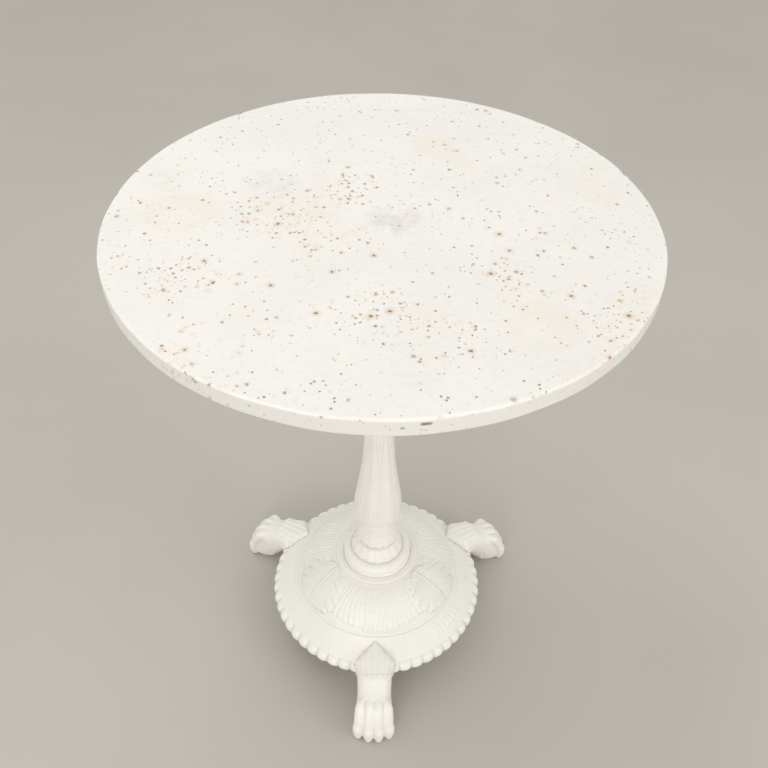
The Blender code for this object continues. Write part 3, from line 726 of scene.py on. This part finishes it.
def scalloped_rim(points, run, rim_run, rim_end):
    """Round the rim into soft lobes: shallow notches draw in and down between them."""
    radius, azimuth, height = polar_of(points)
    pitch = 360.0 / RIM_SCALLOPS
    across = np.abs(wrapped(azimuth, pitch)) / (pitch / 2.0)
    notch = 0.80 * across ** 2 + 0.20 * across ** 5
    zone = ease(rim_run - 0.0005, rim_run + 0.0075, run) * ease(rim_end + 0.0060, rim_end - 0.0005, run)
    shrink = SCALLOP_DEPTH * notch * zone
    points[:, :2] *= (1.0 - shrink / np.maximum(radius, 0.01))[:, None]
    points[:, 2] -= SCALLOP_DIP * notch * zone * ease(0.056, 0.064, height)
    return points


def base_dish():
    points = dish_outline()
    dish = spun("relief_dish", points, RIM_SCALLOPS * 10, sectors=RIM_SCALLOPS // 2)
    rim_run = run_at(points, lambda p: p.x > 0.1499)
    rim_end = run_at(points, lambda p: p.y < DISH_LOW.z + 0.0001)
    co, normals = read_form(dish.data)
    run = read_run(dish.data)
    radius, azimuth, _ = polar_of(co)
    on_top = (run < rim_end).astype(float)
    # Painted shade a little on the seat ring next to the socle; painted light inside the ring where the socle
    # stands, to lift the shadow in that gap
    crease_shade = 0.2 * on_top * ease(0.0535, 0.0515, radius) - 1.5 * on_top * ease(0.0514, 0.0508, radius)
    co += normals * dish_relief(radius, azimuth, on_top)[:, None]
    keep_casting(dish, scalloped_rim(co, run, rim_run, rim_end), "base_dish", crease_shade)


# Socle, collar and column

def socle():
    """Tall bell with soft hanging lobes over a torus."""
    low, high = SOCLE_LOW.z, SOCLE_HIGH.z
    neck = [((ROD_HOLE, high), (0.0215, high), (0.0222, high - 0.0008), (0.0222, 0.1935)), 0.0040]
    bell = [((0.0226, 0.1870), (0.0234, 0.1820), (0.0254, 0.1778), (0.0296, 0.1737), (0.0336, 0.1684),
             (0.0368, 0.1622), (0.0379, 0.1592), (0.0378, 0.1578), (0.0371, 0.1570)), 0.0007]
    torus = [((0.0382, 0.1561), (0.0405, 0.1568), (0.0440, 0.1562), (0.0474, 0.1541), (0.0494, 0.1508),
              (0.0500, 0.1475), (0.0494, 0.1440), (0.0481, 0.1418)), 0.0007]
    foot = [((0.0485, 0.1404), (0.0498, 0.1399), (SOCLE_SPIGOT, 0.1390), (SOCLE_SPIGOT, low)), 0.0007]
    bore = [((0.0340, low), (0.0320, 0.1500), (0.0200, 0.1660), (0.0098, 0.1740), (ROD_HOLE, 0.1800),
             (ROD_HOLE, high)), 0.0080]
    piece = spun("turned_socle", outline(neck, bell, torus, foot, bore), 288)
    co, normals = read_form(piece.data)
    radius, azimuth, height = polar_of(co)
    on_bell = ease(0.0262, 0.0300, radius) * ease(0.1565, 0.1575, height)
    across = np.abs(wrapped(azimuth - 5.0, 360.0 / BELL_LOBES)) / (180.0 / BELL_LOBES)
    lobes = 1.0 - 0.4 * across ** 2 - 0.6 * across ** 6
    vein = bump(0.0, 0.10, across) - 0.5 * bump(0.45, 0.12, across)
    relief = on_bell * (0.0009 * lobes - 0.0009 + 0.00018 * vein)
    waver = np.sin(np.radians(azimuth) * 7.0 + height * 210.0) * np.sin(np.radians(azimuth) * 5.0)
    relief = relief + 0.00020 * waver * (radius > 0.039) * (height > 0.1425)
    co += normals * relief[:, None]
    hem = ease(0.1640, 0.1580, height) * ease(0.1563, 0.1575, height) * (radius > 0.0360)
    co[:, 2] += hem * 0.0016 * across ** 2
    # Painted shade on the bell under the leaf skirt and in the crease under the bell; painted light on the
    # foot where it meets the dish, to lift the shadow there
    under_leaves = ease(0.0305, 0.0270, radius) * (height > 0.165)
    under_bell = bump(0.0376, 0.0012, radius) * ease(0.1572, 0.1560, height)
    at_dish = ease(0.1420, 0.1412, height)
    keep_casting(piece, co, "socle", 0.9 * under_leaves + 0.6 * under_bell - 1.5 * at_dish)


def hanging_leaf_collar():
    """Small moulding over a skirt of pointed leaves."""
    low, high = COLLAR_LOW.z, COLLAR_HIGH.z
    ring = [((ROD_HOLE, high), (0.0262, high), (0.0267, high - 0.0010), (0.0267, high - 0.0022),
             (0.0262, high - 0.0034), (0.0259, high - 0.0042)), 0.0006]
    skirt = [((0.0264, 0.2010), (0.0275, 0.1968), (0.0287, 0.1912), (0.0296, 0.1862),
              (0.0299, low + 0.0002)), 0.0006]
    lip = [((0.0292, low - 0.0004), (0.0279, low + 0.0004)), 0.0006]
    inside = [((0.0256, 0.1900), (0.0240, 0.1960), (0.0236, 0.2028), (ROD_HOLE, 0.2028),
               (ROD_HOLE, high)), 0.0030]
    piece = spun("hanging_leaf_collar", outline(ring, skirt, lip, inside), COLLAR_LEAVES * 24)
    co, normals = read_form(piece.data)
    radius, azimuth, height = polar_of(co)
    pitch = 360.0 / COLLAR_LEAVES
    across = np.abs(wrapped(azimuth - BACK_LEAF, pitch)) / (pitch / 2.0)
    on_skirt = ease(0.0259, 0.0268, radius) * ease(0.2045, 0.2000, height)
    drop = np.clip((0.2030 - height) / 0.0190, 0.0, 1.0)
    crown = 1.0 - 0.35 * across ** 2 - 0.65 * across ** 6
    rib = bump(0.0, 0.11, across) - 0.4 * bump(0.30, 0.14, across)
    barbs = np.cos(2.0 * np.pi * (drop * 4.5 + across * 0.9)) * ease(0.12, 0.35, across)
    relief = on_skirt * (0.0010 * crown - 0.0008 + 0.00030 * rib + 0.00010 * barbs)
    co += normals * relief[:, None]
    tip = ease(0.1935, 0.1850, height) * (radius > 0.0245)
    co[:, 2] += tip * (0.0027 * across ** 2.2 - 0.0006)
    keep_casting(piece, co, "leaf_collar")


def leaf_rank(azimuth, height, offset, foot, widest, tip, lift):
    """One rank of long leaves round the column: height of the relief and its cover."""
    half = 180.0 / COLUMN_LEAVES
    side = wrapped(azimuth - offset, 2.0 * half)
    share = np.clip((height - foot) / (tip - foot), 0.0, 1.0)
    narrow = (1.0 - ease((widest - foot) / (tip - foot), 1.0, share)) ** 0.85
    width = half * 0.905 * narrow
    cover = ease(-0.9, 0.9, width - np.abs(side))
    inner = np.clip(np.abs(side) / np.maximum(width, 0.5), 0.0, 1.0)
    roll = 1.00 * bump(0.93, 0.09, inner)
    dished = 0.35 * np.cos(np.pi * inner)
    rib_gap = 3.3 - 1.6 * share
    ribs = 0.85 * bump(rib_gap, 1.25, np.abs(side)) * ease(1.0, 0.85, share)
    veins = 0.16 * np.cos(2.0 * np.pi * (height / 0.0085 - np.abs(side) / 9.0)) * ease(5.0, 9.0, np.abs(side))
    veins = veins * ease(0.95, 0.7, inner)
    return lift * (0.75 + roll + dished + ribs + veins), cover


def column_relief(azimuth, height):
    """Two ranks of leaves, small scrolls between them low down, and flutes on the neck."""
    front, front_cover = leaf_rank(azimuth, height, FRONT_LEAF, 0.226, 0.345, 0.470, 0.00095)
    back, back_cover = leaf_rank(azimuth, height, BACK_LEAF, 0.300, 0.400, 0.525, 0.00060)
    relief = back * back_cover
    relief = relief * (1.0 - front_cover) + (front + 0.00035) * front_cover
    for side in (-1.0, 1.0):
        for level, size in ((0.258, 0.0022), (0.284, 0.0030)):
            spot = wrapped(azimuth - BACK_LEAF - side * 18.0, 360.0 / COLUMN_LEAVES)
            away = np.hypot(np.radians(spot) * 0.032, height - level)
            relief = relief + 0.0007 * bump(0.0, size * 0.6, away) - 0.0003 * bump(size, size * 0.3, away)
    start = ease(0.2270, 0.2300, height)
    flutes = np.abs(np.cos(np.radians(azimuth) * NECK_FLUTES / 2.0)) ** 0.7
    on_neck = ease(0.568, 0.574, height) * ease(0.640, 0.634, height)
    return relief * start * (height < 0.53) + (0.0009 * flutes - 0.0006) * on_neck


def column_shaft():
    """Leaf baluster, slim fluted neck and small flared capital."""
    low, high = COLUMN_LOW.z, COLUMN_HIGH.z
    capital = [((COLUMN_BORE, high), (0.0290, high)), 0.0060]
    abacus = [((0.0299, high - 0.0008), (0.0299, high - 0.0060), (0.0292, high - 0.0068)), 0.0010]
    echinus = [((0.0272, high - 0.0090), (0.0238, high - 0.0150), (0.0213, high - 0.0215),
                (0.0210, high - 0.0235)), 0.0010]
    bead = [((0.0228, high - 0.0240), (0.0240, high - 0.0262), (0.0228, high - 0.0284),
             (0.0196, high - 0.0292)), 0.0007]
    neck = [((0.0176, high - 0.0340), (0.0168, high - 0.0460), (0.0162, 0.6000), (0.0160, 0.5640),
             (0.0164, 0.5580)), 0.0030]
    knop = [((0.0182, 0.5566), (0.0184, 0.5548), (0.0178, 0.5540), (0.0196, 0.5524), (0.0206, 0.5490),
             (0.0206, 0.5460), (0.0196, 0.5428), (0.0178, 0.5412), (0.0184, 0.5402), (0.0180, 0.5386),
             (0.0164, 0.5370)), 0.0007]
    taper = [((0.0164, 0.5000), (0.0166, 0.4650), (0.0170, 0.4300), (0.0178, 0.3950), (0.0212, 0.3400),
              (0.0272, 0.2950), (0.0311, 0.2670), (0.0321, 0.2500), (0.0318, 0.2430), (0.0303, 0.2355),
              (0.0274, 0.2300), (0.0246, 0.2274)), 0.0019]
    under = [((0.0248, 0.2267), (0.0259, 0.2258), (0.0266, 0.2235), (0.0268, 0.2180),
              (0.0268, low + 0.0008), (0.0262, low)), 0.0008]
    bore = [((COLUMN_BORE, low), (COLUMN_BORE, high)), 0.0300]
    stretches = (capital, abacus, echinus, bead, neck, knop, taper, under, bore)
    piece = spun("leaf_column", outline(*stretches), 288)
    co, normals = read_form(piece.data)
    radius, azimuth, height = polar_of(co)
    outside = (radius > 0.0150).astype(float)
    co += normals * (column_relief(azimuth, height) * outside)[:, None]
    keep_casting(piece, co, "column_shaft")


# Feet, modelled pointing along +X

def dish_surface(radius):
    """Height of the dish's turned face under the cuff."""
    known = ((0.1200, 0.0975), (0.1254, 0.0926), (0.1285, 0.0888), (0.1500, 0.0708), (0.1545, 0.0692),
             (0.1575, 0.0674), (RIM_RADIUS - 0.0010, 0.0634), (RIM_RADIUS, 0.0594))
    return np.interp(radius, [r for r, _ in known], [z for _, z in known])


class Clay:
    """Overlapping forms gathered in one bmesh, to be welded into one skin."""

    def __init__(self):
        self.bm = bmesh.new()
        bmesh.ops.create_icosphere(self.bm, subdivisions=3, radius=1.0)
        self.ball = bpy.data.meshes.new("ball")
        self.bm.to_mesh(self.ball)
        self.bm.clear()

    def egg(self, centre, radii, lean=0.0):
        """An egg, leaned in the side view."""
        copy = self.ball.copy()
        tilt = Matrix.Rotation(math.radians(lean), 3, "Y").to_quaternion()
        copy.transform(Matrix.LocRotScale(Vector(centre), tilt, Vector(radii)))
        self.bm.from_mesh(copy)
        bpy.data.meshes.remove(copy)

    def limb(self, stations, spacing=0.0020):
        """A row of overlapping balls along a smooth path of (place, radius)."""
        places = [Vector(place) for place, _ in stations]
        sizes = [size for _, size in stations]
        path = spline_run(places, spacing)
        marks, reach = [0.0], [0.0]
        for before, place in zip(places, places[1:]):
            marks.append(marks[-1] + (place - before).length)
        for before, place in zip(path, path[1:]):
            reach.append(reach[-1] + (place - before).length)
        for place, along in zip(path, reach):
            size = float(np.interp(along * marks[-1] / reach[-1], marks, sizes))
            self.egg(place, (size, size, size))

    def loft(self, loops):
        """A closed skin through loops of equal count, capped at both ends."""
        rings = []
        for loop in loops:
            made = bmesh.ops.create_circle(self.bm, segments=len(loop), radius=1.0)
            for vert, place in zip(made["verts"], loop):
                vert.co = place
            rings.append(list({edge for vert in made["verts"] for edge in vert.link_edges}))
        for near_ring, far_ring in zip(rings, rings[1:]):
            bmesh.ops.bridge_loops(self.bm, edges=near_ring + far_ring)
        bmesh.ops.holes_fill(self.bm, edges=rings[0] + rings[-1], sides=len(loops[0]))

    def done(self, name):
        bpy.data.meshes.remove(self.ball)
        bmesh.ops.recalc_face_normals(self.bm, faces=self.bm.faces)
        return finished(self.bm, name)


def squared_ring(sides, across_power, up_power):
    """Across and up at each step round a ring squarer than a circle."""
    for step in range(sides):
        angle = 2.0 * math.pi * step / sides
        yield (math.copysign(abs(math.cos(angle)) ** across_power, math.cos(angle)),
               math.copysign(abs(math.sin(angle)) ** up_power, math.sin(angle)))


CUFF_LIP = 0.1802
CUFF_RAKE = 0.60
CUFF_STATIONS = (0.1268, 0.1290, 0.1325, 0.1370, 0.1420, 0.1470, 0.1520, 0.1550, 0.1580, 0.1620, 0.1660,
                 0.1700, 0.1740, 0.1775, CUFF_LIP)


def cuff_loop(radius):
    """One cross-section of the palmette cuff; towards its lip the sides rake back to the dish."""
    width = float(np.interp(radius, (0.1268, 0.1310, 0.1400, 0.1520, 0.1575, 0.1640, 0.1720, CUFF_LIP),
                            (0.0008, 0.0050, 0.0165, 0.0290, 0.0308, 0.0298, 0.0278, 0.0272)))
    top = float(np.interp(radius, (0.1268, 0.1310, 0.1400, 0.1520, 0.1650, 0.1740, CUFF_LIP),
                          (0.0912, 0.0912, 0.0900, 0.0882, 0.0862, 0.0848, 0.0852)))
    low = float(np.interp(radius, (0.1268, 0.1560, 0.1600, 0.1660, CUFF_LIP),
                          (0.0840, 0.0600, 0.0520, 0.0480, 0.0460)))
    rake = CUFF_RAKE * float(np.interp(radius, (0.1500, CUFF_LIP), (0.0, 1.0)))
    loop = []
    for across, lift in squared_ring(56, 0.66, 0.80):
        height = low + (top - low if lift > 0.0 else 0.002) * lift
        loop.append(Vector((radius - rake * (top - height), width * across, height)))
    return loop


# Sections of the leg: its top and its bottom as x and z, and its half width
LEG_STATIONS = (
    ((0.1600, 0.0790), (0.1560, 0.0500), 0.0254),
    ((0.1700, 0.0800), (0.1620, 0.0420), 0.0250),
    ((0.1810, 0.0778), (0.1700, 0.0320), 0.0246),
    ((0.1870, 0.0735), (0.1760, 0.0230), 0.0244),
    ((0.1950, 0.0690), (0.1830, 0.0140), 0.0245),
    ((0.2040, 0.0655), (0.1880, 0.0060), 0.0248),
    ((0.2120, 0.0605), (0.1930, 0.0010), 0.0253),
    ((0.2190, 0.0520), (0.1990, -0.0020), 0.0258),
    ((0.2250, 0.0400), (0.2080, -0.0030), 0.0260),
    ((0.2290, 0.0250), (0.2180, -0.0030), 0.0250),
)


def leg_loop(top, bottom, half_width):
    """One cross-section of the leg, squarer than an ellipse."""
    middle = Vector(((top[0] + bottom[0]) / 2.0, 0.0, (top[1] + bottom[1]) / 2.0))
    up = Vector(((top[0] - bottom[0]) / 2.0, 0.0, (top[1] - bottom[1]) / 2.0))
    return [middle + up * lift + Vector((0.0, half_width * across, 0.0))
            for across, lift in squared_ring(48, 0.78, 0.78)]


WEB_EGGS = 21
# The web between the toes: x, z, and half sizes along, across and up
WEB = (
    (0.1980, 0.0500, 0.0110, 0.0245, 0.0140), (0.2050, 0.0475, 0.0120, 0.0250, 0.0158),
    (0.2130, 0.0440, 0.0130, 0.0258, 0.0172), (0.2195, 0.0330, 0.0136, 0.0264, 0.0180),
    (0.2212, 0.0220, 0.0146, 0.0268, 0.0160), (0.2215, 0.0140, 0.0150, 0.0268, 0.0130),
)
TOE_LATERALS = (-0.0208, -0.0070, 0.0070, 0.0208)


def model_toe(clay, lateral):
    """Tendon, knuckle, last joint and blunt claw of one toe."""
    outer = abs(lateral) > TOE_LATERALS[2]
    back = 0.0052 if outer else 0.0
    drop = 0.0030 if outer else 0.0
    spread = 0.88 if outer else 1.0
    clay.limb((((0.1900, lateral * 0.70 * spread, 0.0560 - drop * 1.6), 0.0060),
               ((0.2010, lateral * 0.79 * spread, 0.0578 - drop), 0.0072),
               ((0.2120 - back * 0.4, lateral * 0.90, 0.0560 - drop), 0.0078),
               ((0.2215 - back * 0.7, lateral * 0.97, 0.0450 - drop), 0.0080),
               ((0.2272 - back, lateral, 0.0330), 0.0076)))
    clay.limb((((0.2268 - back, lateral * 1.01, 0.0330), 0.0070),
               ((0.2305 - back, lateral * 1.04, 0.0235), 0.0086),
               ((0.2312 - back, lateral * 1.05, 0.0140), 0.0083),
               ((0.2300 - back, lateral * 1.05, 0.0072), 0.0070)))
    clay.limb((((0.2336 - back, lateral * 1.05, 0.0110), 0.0056),
               ((0.2340 - back, lateral * 1.055, 0.0078), 0.0054),
               ((0.2336 - back, lateral * 1.06, 0.0056), 0.0050)), 0.0010)


def model_paw(clay):
    """Ankle with its tendons, web, pad and four toes."""
    clay.loft([leg_loop(*station) for station in LEG_STATIONS])
    clay.egg((0.2100, 0.0, 0.0120), (0.0200, 0.0235, 0.0120))
    for share in np.linspace(0.0, len(WEB) - 1.0, WEB_EGGS):
        x, z, long, wide, tall = (float(np.interp(share, range(len(WEB)), column)) for column in zip(*WEB))
        clay.egg((x, 0.0, z), (long, wide, tall))
    for lateral in TOE_LATERALS:
        model_toe(clay, lateral)
    for side in (-1.0, 1.0):
        clay.limb((((0.1790, side * 0.0185, 0.0520), 0.0042), ((0.1860, side * 0.0200, 0.0430), 0.0046),
                   ((0.1935, side * 0.0212, 0.0330), 0.0046), ((0.1985, side * 0.0208, 0.0220), 0.0036)))
        clay.limb((((0.1880, side * 0.0190, 0.0420), 0.0036), ((0.1860, side * 0.0205, 0.0300), 0.0036),
                   ((0.1890, side * 0.0205, 0.0200), 0.0024)))


def remeshed(ob, voxel, smoothing):
    """Weld overlapping forms into one skin and relax it."""
    modifier = ob.modifiers.new("skin", "REMESH")
    modifier.mode = "VOXEL"
    modifier.voxel_size = voxel
    graph = bpy.context.evaluated_depsgraph_get()
    mesh = bpy.data.meshes.new_from_object(ob.evaluated_get(graph))
    bpy.data.objects.remove(ob)
    bm = bmesh.new()
    bm.from_mesh(mesh)
    bpy.data.meshes.remove(mesh)
    for _ in range(smoothing):
        bmesh.ops.smooth_vert(bm, verts=bm.verts, factor=0.5,
                              use_axis_x=True, use_axis_y=True, use_axis_z=True)
    bmesh.ops.recalc_face_normals(bm, faces=bm.faces)
    return bm


def foot_details(points, normals):
    """Flutes and scalloped lip of the cuff, grooves between the toes, short fur on the ankle."""
    x, y, z = points[:, 0], points[:, 1], points[:, 2]
    reference = np.interp(x, (0.126, 0.158, 0.175, CUFF_LIP), (0.0300, 0.0315, 0.0275, 0.0275))
    rise = np.clip((z - 0.046) / 0.039, 0.0, 1.3)
    arch = np.degrees(np.arctan2(y / reference, rise))
    lip = CUFF_LIP - CUFF_RAKE * (0.0852 - np.clip(z, 0.046, 0.0852))
    on_cuff = ease(lip + 0.0012, lip - 0.0006, x) * ease(105.0, 95.0, np.abs(arch)) * (normals[:, 2] > -0.3)
    phase = arch * CUFF_FLUTES / 180.0
    flute = np.abs(np.cos(np.pi * phase)) ** 0.85
    lateral = np.abs(wrapped(phase, 1.0)) * 2.0
    depth = ease(0.128, 0.138, x)
    carve = on_cuff * depth * (0.0010 * flute - 0.0007)
    carve -= on_cuff * 0.0005 * bump(lip - 0.0042, 0.0010, x)
    toe_line = np.minimum(np.abs(y), np.abs(np.abs(y) - 0.0145 * np.interp(x, (0.19, 0.235), (0.74, 1.04))))
    on_leg = 0.45 * ease(0.1835, 0.1890, x) * ease(0.1, 0.5, normals[:, 2]) * (1.0 - on_cuff)
    on_toes = np.maximum(ease(0.198, 0.208, x), on_leg) * ease(0.004, 0.012, z)
    carve -= on_toes * 0.0006 * bump(0.0, 0.0011, toe_line)
    fur = np.cos(2.0 * np.pi * (np.abs(y) * 190.0 + (z - 0.05) * 60.0 + 0.35 * np.sin(x * 900.0)))
    on_ankle = ease(0.1815, 0.1850, x) * ease(0.2000, 0.1920, x) * (1.0 - on_cuff)
    carve += on_ankle * 0.00006 * fur
    points += normals * carve[:, None]
    at_lip = ease(lip - 0.0060, lip, x) * ease(lip + 0.0016, lip + 0.0006, x)
    points[:, 0] -= at_lip * (lateral ** 2.0) * 0.0014 * (z > 0.048)
    return points


def sit_on_dish(points):
    """Keep the cuff clear of the dish's face and rim, and the soles on the floor."""
    radius = np.hypot(points[:, 0], points[:, 1])
    face = dish_surface(radius) + 0.0002
    over = radius < RIM_RADIUS + 0.0004
    points[:, 2] = np.where(over & (points[:, 2] < face), face, points[:, 2])
    points[:, 2] = np.maximum(points[:, 2], 0.0)
    return points


def paw_foot_form():
    """Cuff and paw welded into one skin, as a bmesh."""
    clay = Clay()
    clay.loft([cuff_loop(radius) for radius in CUFF_STATIONS])
    model_paw(clay)
    return remeshed(clay.done("foot_form"), 0.0008, 7)


def paw_feet():
    """One foot finished along +X, then turned to its three places."""
    master = bpy.data.meshes.new("foot_master")
    bm = paw_foot_form()
    bm.to_mesh(master)
    bm.free()
    points = foot_details(*read_form(master))
    write_points(master, sit_on_dish(points))
    for number, azimuth in enumerate(FOOT_AZIMUTHS, 1):
        bm = bmesh.new()
        bm.from_mesh(master)
        bmesh.ops.rotate(bm, verts=bm.verts, cent=(0.0, 0.0, 0.0),
                         matrix=Matrix.Rotation(math.radians(azimuth), 3, "Z"))
        foot = finished(bm, "lion_foot_%d" % number)
        mark_hollows(foot)
        keep_piece(foot, IRON, "paw_foot_%d" % number)


# Carried-over hardware

def dress_hardware():
    """Give the CAD spider, pads, inserts and fixings their finishes."""
    looks = {"painted_cast_iron": IRON, "zinc_steel": zinc_steel(), "brass": insert_brass(),
             "felt": pressed_felt()}
    slots = {row["node"]: row["material_slot"] for row in frame["record"]["subparts"]}
    for name, ob in frame["nodes"].items():
        look = looks.get(slots[name])
        if look and not ob.hide_render:
            ob.data.materials.clear()
            ob.data.materials.append(look)


# Stage

def studio_floor():
    bm = bmesh.new()
    bmesh.ops.create_grid(bm, x_segments=1, y_segments=1, size=6.0)
    bmesh.ops.translate(bm, verts=bm.verts, vec=(0.0, 0.0, -0.0002))
    floor = finished(bm, "studio_floor")
    f = Finish("studio_floor")
    tone = f.mix(f.remap(f.noise(1.5, 3.0), 0.35, 0.65), (0.520, 0.500, 0.455), (0.500, 0.480, 0.437))
    f.surface(tone, f.remap(f.noise(6.0, 3.0), 0.3, 0.7, 0.75, 0.85))
    floor.data.materials.append(f.material)


def add_light(name, place, target, size, power, colour):
    """A round soft light at a place, aimed at a target."""
    data = bpy.data.lights.new(name, "AREA")
    data.shape = "DISK"
    data.size = size
    data.energy = power
    data.color = colour
    light = placed(name, data)
    light.location = place
    light.rotation_mode = "QUATERNION"
    light.rotation_quaternion = (Vector(target) - Vector(place)).to_track_quat("-Z", "Y")


def studio_light():
    world = bpy.data.worlds.new("soft_studio")
    world.use_nodes = True
    background = world.node_tree.nodes["Background"]
    background.inputs["Color"].default_value = (1.0, 0.985, 0.96, 1.0)
    background.inputs["Strength"].default_value = 0.80
    bpy.context.scene.world = world
    pedestal = (0.0, 0.0, 0.15)
    soft_white = (1.0, 0.985, 0.96)
    add_light("key", (-0.9, 0.5, 2.8), (0.0, 0.0, 0.55), 1.4, 11.0, (1.0, 0.98, 0.95))
    add_light("front", (-0.7, -2.4, 1.0), pedestal, 1.3, 16.0, soft_white)
    add_light("side", (2.1, -1.3, 1.3), pedestal, 1.3, 11.0, soft_white)
    bpy.context.scene.view_settings.view_transform = "Standard"


def camera():
    """The view from standing height just in front of the table."""
    pitch, yaw, roll = math.radians(43.53), math.radians(0.334), math.radians(1.315)
    forward = Vector((math.sin(yaw) * math.cos(pitch), math.cos(yaw) * math.cos(pitch), -math.sin(pitch)))
    right = Vector((math.cos(yaw), -math.sin(yaw), 0.0))
    up = right.cross(forward)
    tilted_right = right * math.cos(roll) + up * math.sin(roll)
    tilted_up = up * math.cos(roll) - right * math.sin(roll)
    data = bpy.data.cameras.new("view")
    data.sensor_width = 36.0
    data.lens = 42.75
    ob = placed("view", data)
    axes = Matrix((tilted_right, tilted_up, -forward)).transposed()
    ob.matrix_world = Matrix.Translation((0.0, -0.8323, 1.2778)) @ axes.to_4x4()
    bpy.context.scene.camera = ob


IRON = painted_iron()
camera()
studio_light()
studio_floor()
marble_slab()
column_shaft()
hanging_leaf_collar()
socle()
base_dish()
paw_feet()
dress_hardware()
